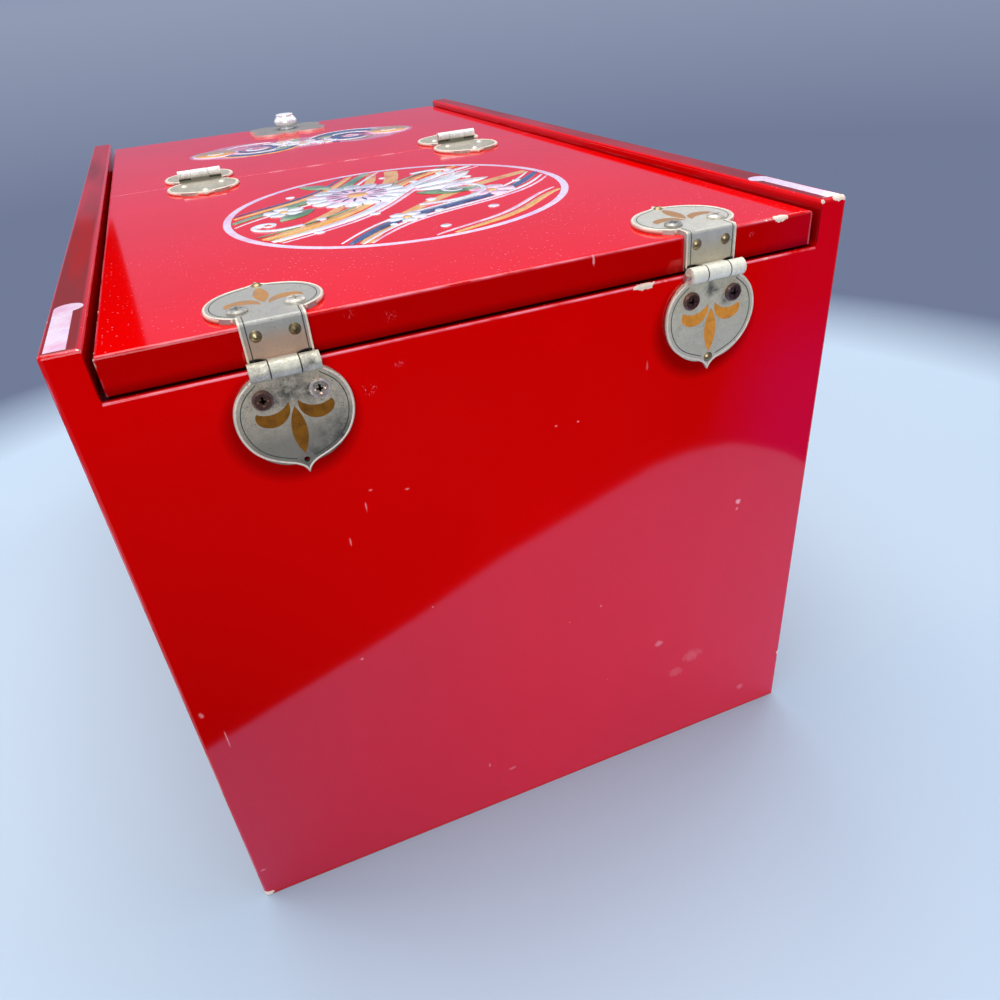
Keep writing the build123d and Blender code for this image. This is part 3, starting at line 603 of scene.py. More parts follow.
patinaOn = {  # middle x, y, z and radius, in millimetres
    "right": [
        (48.5, 152.5, 154.0, 4.6), (43.5, 152.5, 152.8, 3.6), (52.6, 152.5, 152.6, 3.4),
        (37.8, 152.5, 138.5, 9.5), (45.0, 152.5, 134.5, 7.5), (42.8, 155.0, 159.6, 1.2),
    ],
    "left": [(-52.2, 152.5, 154.8, 2.6), (-56.8, 152.5, 151.8, 2.4)],
}
screws = {  # material, light and dark, roughness, metallic, then the tones of the four heads
    "lower": ("bronze_screw", (0.46, 0.29, 0.22), (0.10, 0.03, 0.022), 0.19, 0.8, [
        (1.0, 0.84, 0.70), (0.24, 0.13, 0.10), (0.16, 0.09, 0.07), (0.20, 0.09, 0.065),
    ]),
    "upper": ("steel_screw", (0.72, 0.66, 0.54), (0.30, 0.27, 0.22), 0.28, 0.6, [
        (0.72, 0.66, 0.54), (0.44, 0.41, 0.34), (0.74, 0.68, 0.56), (0.36, 0.34, 0.29),
    ]),
}
# The screws' cross recesses are painted black, as shade
recesses = {"lower": [], "upper": []}  # the cross recesses as marks, in millimetres
for side in sides:
    x = hingeX[side] / mm
    # Painted black shade in the gaps between the knuckles, and on the strap just above the outer knuckles
    knuckleGapShades = [(x + end * 3.05, 153.4, 159.1, 0.22, 2.6) for end in (-1, 1)]
    shadeAboveKnuckles = [(x + end * 5.2, 151.0, 160.0, 2.3, 0.95) for end in (-1, 1)]
    lowerZones = [
        (2, heartLow + 15 * mm, heartLow + 8 * mm, duskTones[side]),
        (2, barrelZ - 2.3 * mm, barrelZ - 1.7 * mm, *barrelTones[side]),
    ]
    upperZones = [
        (1, lidRear, lidRear + 0.8 * mm, strapTonesAndReflection[side]),
        (2, lidTop - 3.4 * mm, lidTop - 0.8 * mm, silverTones[side]),
        (1, lidRear + 1.3 * mm, lidRear + 1.8 * mm, *barrelTones[side]),
    ]
    tones = {**pewter, **lowerTones[side]}
    lowerPlate = pewterFinish(f"pewter_{side}_lower", tones, lowerZones, patinaOn[side], knuckleGapShades)
    upperPlate = pewterFinish(f"pewter_{side}_upper", zones=upperZones, shadedCreases=knuckleGapShades + shadeAboveKnuckles, patina=0.62)
    wear(lowerPlate, side + "_hinge_lower_leaf")
    wear(upperPlate, side + "_hinge_upper_leaf")
    for aside in (-5.8, 5.8):
        recesses["lower"].append((x + aside, caseRear / mm + 0.7, heartLow / mm + 18.6, 1.1, 1.1))
        recesses["upper"].append((x + aside, lidRear / mm - 6.1, lidTop / mm + 0.7, 1.1, 1.1))
for row, (name, light, dark, roughness, metallic, tones) in screws.items():
    heads = [(*at[:3], 3.0, 3.0, tone) for at, tone in zip(recesses[row], tones)]
    finish = metalFinish(name, light, dark, roughness, 700, metallic, recesses[row], heads)
    wear(finish, row + "_leaf_screws")
seamTones = {**pewter, "bright": (0.56, 0.50, 0.39), "dull": (0.19, 0.17, 0.11)}
# The upstand between plate and barrel is painted dark olive, as shade
seamZones = [
    (2, lidTop + 0.95 * mm, lidTop + 1.1 * mm, (0.16, 0.15, 0.10)),
    (2, lidTop + 2.2 * mm, lidTop + 2.6 * mm, (1.0, 0.97, 0.88)),
]
seamPlate = pewterFinish("pewter_seam", seamTones, seamZones, patina=0.9)
wear(seamPlate, *[name for name in nodes if "seam_hinge" in name and name.endswith("_leaf")])
knobPlateTones = {**pewter, "bright": (0.32, 0.30, 0.27), "dull": (0.16, 0.15, 0.12)}
wear(pewterFinish("pewter_knob_plate", knobPlateTones, sideTone=(0.80, 0.62, 0.54)), "lid_knob_plate")
wear(pewterFinish("pewter_drawer_plate"), "drawer_knob_plate")
lowAmber = amberFinish("amber_low", (0.24, 0.088, 0.0015), (0.74, 0.28, 0.03), (0.09, 0.03, 0.003))
wear(lowAmber, "lower_leaf_petals")
highAmber = amberFinish("amber_high", (0.45, 0.20, 0.03), (0.38, 0.18, 0.05), (0.26, 0.18, 0.12))
wear(highAmber, "upper_leaf_petals")
brass = metalFinish("brass_nail", (0.42, 0.32, 0.16), (0.13, 0.09, 0.04), 0.26, metallic=0.85)
wear(brass, "lower_leaf_nail", "upper_leaf_nails")
paleNail = metalFinish("pewter_nail", (0.74, 0.70, 0.58), (0.46, 0.44, 0.34), 0.40, metallic=0.5)
wear(paleNail, "seam_rear_nails", "seam_front_nails")
copper = metalFinish("pin_copper", (0.62, 0.42, 0.34), (0.30, 0.19, 0.14), 0.34, metallic=0.8)
wear(copper, "hinge_pins", "seam_hinge_pins", "lid_knob_nut", "drawer_knob_nut")
# The knobs are painted near-white: a painted reflection of the bright room in their polished metal
paintedBrightKnob = metalFinish("knob_painted_reflection", (0.97, 0.97, 0.94), (0.90, 0.90, 0.86), 0.20, 200, 0.35)
wear(paintedBrightKnob, "lid_knob", "drawer_knob")
liningVelvet = velvetFinish("velvet_lining", (0.16, 0.006, 0.012), (0.08, 0.002, 0.005))
wear(liningVelvet, "front_leaf_lining", "drawer_lining")
wear(liningVelvet, *[name for name in nodes if name.startswith(("lining_", "tray_"))])
drawerWood = woodFinish("drawer_wood", (0.52, 0.33, 0.17), (0.36, 0.20, 0.09))
wear(drawerWood, "drawer_right_side", "drawer_left_side", "drawer_back", "drawer_floor", "shelf_panel")
mirror = Finish("mirror_glass", (0.90, 0.93, 0.92), Metallic=1.0)
mirror.set(Roughness=mirror.place().noise(20, 4).between(0.4, 0.7, 0.012, 0.05))
wear(mirror.material, "mirror_glass")
print("finishes done")

ringLow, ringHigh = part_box("medallion_ring")
cloudLow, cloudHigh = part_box("front_cloud_inlay")
layer = {"sunk": -0.06 * mm, "first": 0.05 * mm, "step": 0.03 * mm}


# Height over the lid's face, round a centre on it
def ontoLid(centre):
    return lambda u, v, h: np.c_[centre["x"] + u, centre["y"] + v, lidTop + h]


def inLayer(index):
    return layer["sunk"], layer["first"] + layer["step"] * index


def inlaid(outline, level):
    return tile(outline * mm, *inLayer(level))


# A petal is an ellipse pushed out from the flower's middle, narrower at its foot and notched at its tip
def petalOutline(radius, turn, slim=0.335, count=26):
    a = around(count)
    notch = 0.08 * radius * np.exp(-(np.minimum(a, 2 * math.pi - a) / 0.42) ** 2)
    along = 0.60 * radius + 0.40 * radius * np.cos(a) - notch
    across = slim * radius * np.sin(a) * (1 + 0.22 * np.cos(a))
    return turned(np.c_[along, across], turn)


def ringOutline(radius, count=18, centre=(0, 0)):
    a = around(count)
    return np.c_[centre[0] + radius * np.cos(a), centre[1] + radius * np.sin(a)]


# A leaf's half width swells and closes as the sine of the way along it, on a stem that bends by a parabola
def leafOutline(foot, length, width, turn, bend=0.18, count=16):
    t = np.linspace(0, 1, count)
    spine = np.c_[length * t, bend * length * t * t]
    half = 0.5 * width * np.sin(math.pi * t) ** 0.8
    side = np.r_[spine + np.c_[0 * t, -half], (spine + np.c_[0 * t, half])[-2:0:-1]]
    return np.asarray(foot) + turned(side, turn)


# A curl's heading turns steadily faster on the way in, while its steps grow shorter
def curlPath(start, heading, length, turns, count=70):
    t = np.linspace(0, 1, count)
    angle = heading + turns * 2 * math.pi * t ** 1.6
    step = length / count * (1.3 - 0.9 * t)
    return np.asarray(start) + np.cumsum(np.c_[step * np.cos(angle), step * np.sin(angle)], 0)


# A stream sways by a sine about the straight line between its ends, and its ribbons run side by side
def streamPath(stream, aside, count=110):
    t = np.linspace(0, 1, count)
    start, end = np.array(stream["from"], float), np.array(stream["to"], float)
    run = end - start
    left = np.array([-run[1], run[0]]) / np.linalg.norm(run)
    swing = aside + stream["sway"] * np.sin(2 * math.pi * (t + stream["phase"]))
    return start + t[:, None] * run + swing[:, None] * left


# Only the points inside the ring are kept, and the width closes at both ends
def streamRibbon(stream, aside, width, reach, level):
    path = streamPath(stream, aside)
    path = path[np.hypot(path[:, 0], path[:, 1]) < reach]
    swell = np.sin(math.pi * np.linspace(0.03, 0.97, len(path))) ** 0.35
    return ribbon(path * mm, width * swell * mm, *inLayer(level))


medallion = {
    "x": (ringLow[0] + ringHigh[0]) / 2, "y": (ringLow[1] + ringHigh[1]) / 2,
    "reach": (ringHigh[0] - ringLow[0]) / 2 / mm - 2.6,
    "streams": [  # each ribbon: how far aside, width, tint
        {"from": (24, 42), "to": (-48, -6), "sway": 4.2, "phase": 0.0, "ribbons": [
            (0, 3.8, "navy"), (3.1, 1.3, "pale"), (-3.3, 1.6, "pale"), (-5.6, 1.3, "pink"),
        ]},
        {"from": (42, 27), "to": (-36, -32), "sway": 4.6, "phase": 0.45, "ribbons": [
            (0, 4.4, "pale"), (4.8, 3.4, "gold"), (-3.6, 1.3, "pink"), (8.0, 1.3, "green"),
        ]},
        {"from": (49, 2), "to": (-6, -48), "sway": 3.4, "phase": 0.2, "ribbons": [
            (0, 4.2, "green"), (4.2, 2.8, "gold"), (-3.6, 1.4, "pale"), (7.0, 1.2, "navy"),
        ]},
        {"from": (2, 49), "to": (-44, 20), "sway": 1.8, "phase": 0.3, "ribbons": [
            (0, 1.5, "pink"), (-3.0, 2.6, "gold"),
        ]},
    ],
    "blossom": (9, -15, 17.0), "buds": [(-27, 9, 7.5, 0.4), (33, -8, 6.5, 1.0), (4, 24, 6.0, 0.2)],
    "leaves": [  # foot u, v, length, width, turn, tint
        (-8, -12, 27, 9, 3.45, "pale"), (-8, -8, 25, 8.5, 3.05, "pale"), (-7, -4, 22, 7.5, 2.65, "green"),
        (24, -6, 15, 7, 0.5, "green"), (14, -31, 14, 6, -1.1, "green"),
    ],
    "curls": [(-2, 12, 168, 66, 1.15), (30, 12, 20, 36, -1.2), (-14, -34, 200, 34, -1.1)],
    "dots": 22, "dotTurn": 2.39996,
}
levels = {"pale": 1, "pink": 2, "gold": 3, "navy": 4, "green": 5}


# Two rings of narrow petals on a navy ground, the inner one half a step round, with a navy dash at the foot
# of each and a gold middle; neighbours lie on their own levels
def addBlossom(tiles, blossom, petals=15):
    u, v, radius = blossom
    centre, step = np.array([u, v]), 2 * math.pi / petals
    tiles["navy"].append(inlaid(ringOutline(0.8 * radius, 40, centre), 7))
    for k in range(petals):
        apart = 0.2 * (k % 3)
        tiles["pale"].append(inlaid(petalOutline(radius, k * step, 0.16) + centre, 8 + apart))
        tiles["pink"].append(inlaid(petalOutline(0.62 * radius, (k + 0.5) * step, 0.17) + centre, 9 + apart))
        foot = centre + 0.27 * radius * np.array([math.cos(k * step), math.sin(k * step)])
        tiles["navy"].append(inlaid(leafOutline(foot, 0.3 * radius, 1.1, k * step, 0), 10.3))
    tiles["gold"].append(inlaid(ringOutline(0.20 * radius, 22, centre), 10))


# A bud is five petals about a gold middle
def addBud(tiles, bud, tint, level, eye, eyeLevel, count):
    u, v, radius, turn = bud
    centre = np.array([u, v])
    for k in range(5):
        petal = petalOutline(radius, turn + k * 2 * math.pi / 5) + centre
        tiles[tint].append(inlaid(petal, level + 0.2 * (k % 3)))
    tiles["gold"].append(inlaid(ringOutline(eye * radius, count, centre), eyeLevel))


# One piece of each tint, laid on the lid
def addShellWork(name, tiles, settings, body):
    for tint, parts in tiles.items():
        points, faces = laid(parts, ontoLid(settings))
        addPiece(f"{name}_{tint}_shell", points, faces, shells[tint], body, "shell")


# Streams first, then leaves, buds, the blossom and curls; small dots fill the rest on a sunflower spiral
def medallionWork(settings=medallion):
    tiles = {tint: [] for tint in shells}
    reach = settings["reach"]
    for stream in settings["streams"]:
        for aside, width, tint in stream["ribbons"]:
            tiles[tint].append(streamRibbon(stream, aside, width, reach, levels[tint]))
    addBlossom(tiles, settings["blossom"])
    for bud in settings["buds"]:
        addBud(tiles, bud, "pink" if bud[2] > 7 else "pale", 8.1, 0.2, 10, 14)
    for index, (u, v, length, width, turn, tint) in enumerate(settings["leaves"]):
        tiles[tint].append(inlaid(leafOutline((u, v), length, width, turn), 6 + 0.3 * index))
    for u, v, heading, length, turns in settings["curls"]:
        path = curlPath((u, v), math.radians(heading), length, turns) * mm
        tiles["pale"].append(ribbon(path, np.linspace(2.1, 1.1, len(path)) * mm, *inLayer(9)))
    k = np.arange(settings["dots"])
    outwards = reach * 0.88 * np.sqrt((k + 0.5) / len(k))[:, None]
    turn = k * settings["dotTurn"]
    spots = outwards * np.c_[np.cos(turn), np.sin(turn)]
    for spot, size in zip(spots, 0.8 + 0.6 * np.abs(np.sin(k * 1.7))):
        tiles["pale"].append(inlaid(ringOutline(1.2 * size, 12, spot), 6))
    addShellWork("medallion", tiles, settings, "rear_leaf")


medallionWork()
print("medallion done")

cloud = {
    "x": (cloudLow[0] + cloudHigh[0]) / 2, "y": (cloudLow[1] + cloudHigh[1]) / 2,
    "ends": [(39.0, 0), (-39.0, 0)], "endRings": [(9.8, "pink"), (8.6, "gold"), (3.6, "pale"), (2.4, "gold")],
    "swirls": [  # middle u, v, then radius, width, start and stop in degrees, and tint of each band
        ((21.0, 0), [
            (15.6, 4.2, -20, 230, "navy"), (11.2, 3.2, -30, 250, "pale"), (7.6, 3.2, 0, 290, "navy"),
            (3.8, 3.0, -60, 200, "pale"), (18.8, 1.4, 0, 180, "gold"), (15.8, 1.6, 240, 330, "pale"),
        ]),
        ((-21.0, 0), [
            (15.4, 5.0, -210, 60, "navy"), (10.8, 2.6, -180, 120, "pale"), (6.6, 4.6, -170, 150, "navy"),
            (2.8, 2.2, 0, 300, "pink"), (18.8, 1.4, -180, 20, "pale"), (13.2, 1.2, 70, 140, "green"),
        ]),
    ],
    "buds": [(1, 2, 8.0, 0.2), (9.5, -6, 5.5, 0.9), (-8.5, 7, 5.5, 0.5)],
    "leaves": [(6, 5, 11, 5, 0.5), (-6, -3, 11, 5, 3.6), (2, -6, 9, 4, -1.6)],
}


# An arc of a circle, its ribbon closing at both ends
def arcRibbon(centre, radius, width, start, stop, level):
    a = np.radians(np.linspace(start, stop, 44))
    path = np.asarray(centre) + radius * np.c_[np.cos(a), np.sin(a)]
    swell = np.sin(np.linspace(0.12, math.pi - 0.12, 44)) ** 0.5
    return ribbon(path * mm, width * swell * mm, *inLayer(level))


# Ringed discs at both ends, bands that swirl between them, then leaves and buds over their meeting
def cloudWork(settings=cloud):
    tiles = {tint: [] for tint in shells}
    for centre in settings["ends"]:
        for index, (radius, tint) in enumerate(settings["endRings"]):
            tiles[tint].append(inlaid(ringOutline(radius, 40, centre), 6 + index))
    for centre, bands in settings["swirls"]:
        for radius, width, start, stop, tint in bands:
            tiles[tint].append(arcRibbon(centre, radius, width, start, stop, 3))
    for u, v, length, width, turn in settings["leaves"]:
        tiles["green"].append(inlaid(leafOutline((u, v), length, width, turn), 5))
    for index, bud in enumerate(settings["buds"]):
        level = 7.4 + 0.8 * index
        addBud(tiles, bud, "pale", level, 0.25, level + 0.7, 12)
    addShellWork("cloud", tiles, settings, "front_leaf")


cloudWork()
print("cloud done")

heart = {
    "neck": 7.2, "halfWidth": 12.3, "length": 23.0, "sheet": 1.0, "lineInset": 1.3, "line": 0.22,
    "rimOffsets": [-0.06, -0.06, 0.12, 0.36, 0.58], "rimHeights": [-0.96, -0.16, 0.04, 0.10, -0.05],
    "tipNail": (0, 19.8), "nailRoom": 1.8,
}
seamHeart = {
    **heart, "length": 25.0, "sheet": 0.9, "fromSeam": 1.025,
    "rimHeights": [-0.86, -0.16, 0.05, 0.12, -0.05], "rimOffsets": [-0.08, -0.08, 0.16, 0.70, 1.15],
}


# A smooth line through points: cubic pieces with matched slope and curvature, by distance along the points
def smoothThrough(points, count):
    points = np.asarray(points, float)
    s = np.r_[0, np.cumsum(np.linalg.norm(np.diff(points, axis=0), axis=1))]
    h = np.diff(s)
    n = len(points)
    matrix, right = np.eye(n), np.zeros((n, 2))
    i = np.arange(1, n - 1)
    matrix[i, i - 1], matrix[i, i], matrix[i, i + 1] = h[:-1], 2 * (h[:-1] + h[1:]), h[1:]
    right[1:-1] = 6 * np.diff(np.diff(points, axis=0) / h[:, None], axis=0)
    curve = np.linalg.solve(matrix, right)
    at = np.linspace(0, s[-1], count)
    j = np.clip(np.searchsorted(s, at, "right") - 1, 0, n - 2)
    a, b, w = (at - s[j])[:, None], (s[j + 1] - at)[:, None], h[j][:, None]
    bends = (curve[j] * b**3 + curve[j + 1] * a**3) / (6 * w)
    return bends + (points[j] / w - curve[j] * w / 6) * b + (points[j + 1] / w - curve[j + 1] * w / 6) * a


# Half of a heart leaf's outline from its neck to its point: full shoulder, round belly, short ogee
def heartHalf(size, count=70):
    w, l = size["halfWidth"], size["length"]
    chin = (0.2 * w, 0.885 * l)
    shoulder = [(size["neck"], 0), (0.84 * w, 0.12 * l), (w, 0.39 * l), (0.72 * w, 0.74 * l), chin]
    belly = smoothThrough(shoulder, count)
    tip = smoothThrough([chin, (0.07 * w, 0.935 * l), (0, l)], 14)
    return np.r_[belly, tip[1:]]


# The engraved line is the outline moved inwards along its normals, cut off short of the middle line and
# of the nail at the tip
def engravedLine(size):
    half = heartHalf(size)
    line = half + size["lineInset"] * leftNormals(half)
    clear = np.linalg.norm(line - np.array(size["tipNail"]), axis=1) > size["nailRoom"]
    kept = (line[:, 0] > 0.15) & (line[:, 1] > 0) & clear
    first = np.argmax(kept)
    rest = ~kept[first:]
    return line[first: first + np.argmax(rest) if rest.any() else len(kept)]


def mirrored(part):
    points, faces = part
    return points * [-1, 1, 1], [list(face)[::-1] for face in faces]


# Both halves of a leaf's engraved line, and of the bright rim that wraps its edge
def leafTrim(size):
    line = ribbon(engravedLine(size) * mm, size["line"] * mm, -0.02 * mm, 0.025 * mm, 0.02 * mm)
    offsets, heights = np.array(size["rimOffsets"]) * mm, np.array(size["rimHeights"]) * mm
    points, faces = sweep(heartHalf(size) * mm, offsets, heights)
    points[:, 0] = np.maximum(points[:, 0], 0)
    rim = points, faces
    return [line, mirrored(line)], [rim, mirrored(rim)]


def ontoBack(x):
    neck = heartLow + heart["length"] * mm
    return lambda u, v, h: np.c_[x + u, caseRear + heart["sheet"] * mm + h, neck - v]


def ontoLidLeaf(x, y, towards, sheet):
    return lambda u, v, h: np.c_[x - towards * u, y - towards * v, lidTop + sheet * mm + h]


bend = {"radius": 0.8 * mm, "sheet": 1.0 * mm, "run": 2.4 * mm, "reach": (-3.4, 8.7)}
strapTrim = {  # in millimetres
    "line": {"across": (-5.75, 5.45), "width": 0.24, "top": 0.025},
    "rim": {"across": (-6.48, 6.48), "width": 0.4, "top": 0.05},
}


# Down the strap: flat on the lid, a quarter turn round the bend, then flat down the lid's rear face
def ontoStrap(x):
    def shape(u, v, h):
        r = bend["radius"]
        turn = np.clip(v / r, 0, math.pi / 2)
        down = np.maximum(v - r * math.pi / 2, 0)
        y = lidRear + bend["sheet"] - r + np.minimum(v, 0) + (r + h) * np.sin(turn)
        z = lidTop + bend["sheet"] - r - down + (r + h) * np.cos(turn)
        return np.c_[x + u, y, z]
    return shape


rimTones = {
    **pewter, "bright": (0.95, 0.79, 0.62), "dull": (0.60, 0.48, 0.36), "roughness": 0.34, "metallic": 0.25,
}
rimFinish = pewterFinish("pewter_rim", rimTones, patina=0.7)
lineFinish = metalFinish("engraved_line", (0.07, 0.08, 0.06), (0.025, 0.028, 0.02), 0.6, metallic=0.2)


def addTrim(name, parts, onto, finish, body):
    addPiece(name, *laid(parts, onto), finish, body, "nickel_plate")


def hingeTrim():
    lines, rims = leafTrim(heart)
    v = np.linspace(*bend["reach"], 44) * mm
    for side, x in hingeX.items():
        ontoUpper = ontoLidLeaf(x, lidRear - bend["run"], 1, heart["sheet"])
        for kind, parts, finish in (("border", lines, lineFinish), ("rim", rims, rimFinish)):
            addTrim(f"{side}_lower_leaf_{kind}", parts, ontoBack(x), finish, "root")
            addTrim(f"{side}_upper_leaf_{kind}", parts, ontoUpper, finish, "rear_leaf")
        for kind, finish in (("line", lineFinish), ("rim", rimFinish)):
            trim = strapTrim[kind]
            runs = [np.c_[np.full(len(v), u * mm), v] for u in trim["across"]]
            parts = [ribbon(run, trim["width"] * mm, -0.02 * mm, trim["top"] * mm, 0.02 * mm) for run in runs]
            addTrim(f"{side}_strap_{kind}", parts, ontoStrap(x), finish, "rear_leaf")
    rims = leafTrim(seamHeart)[1]
    for side in sides:
        x = middleOf(side + "_seam_hinge_rear_leaf")
        for towards, body in ((1, "front_leaf"), (-1, "rear_leaf")):
            y = seamY - towards * seamHeart["fromSeam"] * mm
            onto = ontoLidLeaf(x, y, towards, seamHeart["sheet"])
            addTrim(f"{side}_seam_{body}_rim", rims, onto, rimFinish, body)


hingeTrim()
print("hinge trim done")

cushions = {"count": 6, "radius": 5.2, "squareness": 2.6, "wrinkle": 0.09, "flat": 0.86, "lift": 4.75}
rollLow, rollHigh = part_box("ring_rolls")


# A roll is a circle, flattened where it rests, carried along the tray; towards its ends its radius closes
# by a superellipse, and shallow folds run round it, deeper near the ends
def rollMesh(y, settings=cushions, rows=64, columns=40):
    half = (rollHigh[0] - rollLow[0]) / 2 / mm
    r, square = settings["radius"], settings["squareness"]
    along = half * np.sin(np.linspace(-1, 1, rows) * math.pi / 2)[:, None]
    fromEnd = np.clip((half - np.abs(along)) / r, 0, 1)
    close = (1 - (1 - fromEnd) ** square) ** (1 / square)
    a = around(columns)
    fold = settings["wrinkle"] * np.sin(along * 1.9 + 0.6 * np.sin(2 * a)) * (1 - 0.7 * fromEnd)
    fold = fold + 0.05 * np.sin(along * 0.55 + y) * np.cos(a)
    radius = (r + fold) * close
    height = np.maximum(radius * np.sin(a), -settings["flat"] * r * close)
    flat = np.broadcast_to(along, height.shape)
    points = np.stack([flat, y + radius * np.cos(a), settings["lift"] + height], -1)[1:-1].reshape(-1, 3)
    caps = np.array([[-half, y, settings["lift"]], [half, y, settings["lift"]]])
    return np.r_[points, caps], tubeFaces(rows - 2, columns)


pitch = (rollHigh[1] - rollLow[1]) / cushions["count"] / mm
points, faces = join([rollMesh(pitch * (k + 0.5)) for k in range(cushions["count"])])
points = points * mm + np.array([(rollLow[0] + rollHigh[0]) / 2, rollLow[1], rollLow[2]])
rollVelvet = velvetFinish("velvet_rolls", (0.20, 0.010, 0.018), (0.09, 0.003, 0.006))
ringCushions = addPiece("ring_cushions", points, faces, rollVelvet, "tray", "ring_roll_velvet")
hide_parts("ring_rolls")
print("cushions done")

studio = {
    "floorTone": (0.43, 0.525, 0.60), "floorMiddle": (0.0, 0.10, 0.0), "floorRadius": 0.416, "fade": 0.052,
    "discRadius": 0.6, "discCorners": 128, "floorLevel": -0.2 * mm, "below": (0.165, 0.200, 0.315),
    "room": [  # between two heights of the direction the tone goes over to the next one
        (-0.16, 0.02, (0.29, 0.335, 0.465)), (0.01, 0.12, (0.20, 0.24, 0.40)),
        (0.55, 0.95, (0.55, 0.62, 0.74)),
    ],
}
black = (0.0, 0.0, 0.0)
# Cards are painted reflections, seen only in gloss; the blue one glows
cards = {  # corners x, y on the floor, or x, z where it stands upright; only gloss sees a card
    "darkCard": {
        "corners": [
            (0.80, 3.0), (-0.95, 3.0), (-0.95, 0.95), (-0.34, 0.26), (-0.2032, 0.26), (-0.2002, 0.2826),
            (-0.1936, 0.2938), (-0.1827, 0.3052), (-0.1601, 0.3083), (-0.1345, 0.3049), (-0.0924, 0.2901),
            (-0.0322, 0.2689), (0.0099, 0.2494), (0.0387, 0.2381), (0.0645, 0.2289), (0.0882, 0.2200),
            (0.130, 0.2050),
        ],
        "tone": black, "farTone": (0.0, 0.03, 0.52), "glow": black, "height": 1.2 * mm,
    },
    "blueCard": {
        "corners": [(0.12, 0.1517), (0.12, 0.36), (-0.21, 0.36), (-0.21, 0.1517)],
        "tone": (0.44, 0.55, 0.98), "farTone": (0.44, 0.55, 0.98), "glow": (0.04, 0.10, 0.30),
        "height": 0.6 * mm,
    },
    "uprightCard": {
        "corners": [(0.1256, 0.28), (0.1335, 0.41), (0.146, 0.62), (0.40, 0.62), (0.40, 0.28)],
        "tone": black, "farTone": black, "glow": black, "upright": -0.6,
    },
}
slant = {"middleY": 0.30, "lean": 0.9, "reach": (-0.155, -0.205), "weaker": (0.46, 0.36, 0.3, 1.0)}
lamps = {
    "softboxTop": {"at": (0.06, -0.20, 1.48), "aim": (0, 0, 0.1), "size": 1.3, "power": 23.0},
    "softboxBehind": {"at": (0.45, 1.7, 0.75), "aim": (0, 0.1, 0.1), "size": 1.1, "power": 16.5},
    "softboxSide": {"at": (-1.35, -0.75, 0.9), "aim": (0, 0, 0.1), "size": 0.8, "power": 4.6},
    "softboxFarSide": {"at": (1.35, -0.75, 0.9), "aim": (0, 0, 0.1), "size": 0.8, "power": 4.6},
}


def addStage(name, points, finish):
    obj = addMesh(name, points, [range(len(points))], finish)
    return obj


# The floor is a disc whose tone fades out at its rim
def addFloor(settings=studio):
    finish = Finish("floor_pale", settings["floorTone"], Roughness=0.6, Specular_IOR_Level=0.25)
    distance = finish.place().vectorCalc("DISTANCE", settings["floorMiddle"], "Value")
    radius, fade = settings["floorRadius"], settings["fade"]
    finish.set(Alpha=distance.between(radius + fade, radius - fade))
    angle = around(settings["discCorners"])
    rim = settings["discRadius"] * np.c_[np.cos(angle), np.sin(angle)] + settings["floorMiddle"][:2]
    addStage("floor", np.c_[rim, np.full(len(rim), settings["floorLevel"])], finish.material)


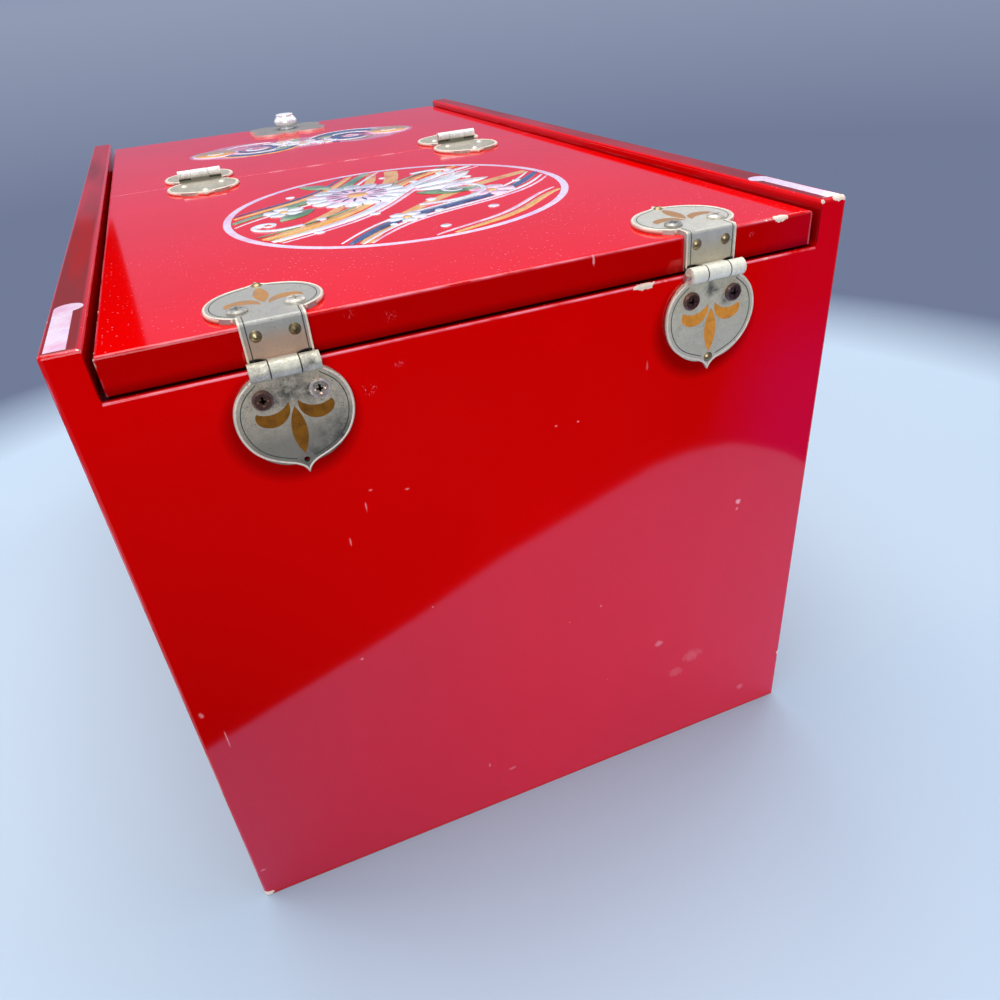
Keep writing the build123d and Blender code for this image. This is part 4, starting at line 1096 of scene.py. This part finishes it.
# A card is a painted reflection: it takes over its far tone along a slanting line, more so close to the box
def addCards(settings=cards):
    for name, card in settings.items():
        finish = Finish(
            name, card["tone"], Roughness=1.0, Specular_IOR_Level=0.0,
            Emission_Color=(*card["glow"], 1), Emission_Strength=1.0,
        )
        x, y, _ = finish.place().parts()
        across = x + (y - slant["middleY"]) * slant["lean"]
        share = across.between(*slant["reach"]) * y.between(*slant["weaker"])
        finish.set(Base_Color=finish.mix(share, card["tone"], card["farTone"]))
        points = [
            (a, card["upright"], b) if "upright" in card else (a, b, card["height"])
            for a, b in card["corners"]
        ]
        obj = addStage(name, points, finish.material)
        for sight in ("visible_camera", "visible_diffuse", "visible_shadow", "visible_transmission"):
            setattr(obj, sight, False)


# The room's tone by how high a direction points
def addRoom(settings=studio):
    world = bpy.data.worlds.new("room")
    scene.world = world
    world.use_nodes = True
    tree = Tree(world.node_tree)
    up = tree.node("ShaderNodeTexCoord", output="Generated").parts()[2]
    tone = settings["below"]
    for start, full, further in settings["room"]:
        tone = tree.mix(up.between(start, full), tone, further)
    tree.feed(world.node_tree.nodes["Background"].inputs["Color"], tone)


def addLamps(settings=lamps):
    for name, lamp in settings.items():
        data = bpy.data.lights.new(name, "AREA")
        data.size = lamp["size"]
        data.energy = lamp["power"]
        light = bpy.data.objects.new(name, data)
        scene.collection.objects.link(light)
        away = np.array(lamp["at"]) - np.array(lamp["aim"])
        light.location = lamp["at"]
        light.rotation_mode = "QUATERNION"
        light.rotation_quaternion = Vector(away.tolist()).to_track_quat("Z", "Y")


shot = {
    "at": (0.05857, 0.30587, 0.21836), "azimuth": -0.3315, "elevation": 0.5744, "roll": -0.0968,
    "lens": 28.41, "sensor": 36, "clip": (0.01, 50),
}


# The camera looks along its heading, tipped down by its elevation, then rolled about that line
def addCamera(settings=shot):
    data = bpy.data.cameras.new("camera")
    camera = bpy.data.objects.new("camera", data)
    scene.collection.objects.link(camera)
    scene.camera = camera
    data.lens = settings["lens"]
    data.sensor_width = settings["sensor"]
    data.clip_start, data.clip_end = settings["clip"]
    heading, tip, roll = settings["azimuth"], settings["elevation"], settings["roll"]
    flat = math.cos(tip)
    ahead = np.array([math.sin(heading) * flat, -math.cos(heading) * flat, -math.sin(tip)])
    side = np.cross(ahead, [0, 0, 1])
    side /= np.linalg.norm(side)
    top = np.cross(side, ahead)
    matrix = np.eye(4)
    matrix[:3, 0] = math.cos(roll) * side + math.sin(roll) * top
    matrix[:3, 1] = math.cos(roll) * top - math.sin(roll) * side
    matrix[:3, 2] = -ahead
    matrix[:3, 3] = settings["at"]
    camera.matrix_world = Matrix(matrix.tolist())


addFloor()
addCards()
addRoom()
addLamps()
addCamera()
print("studio done")
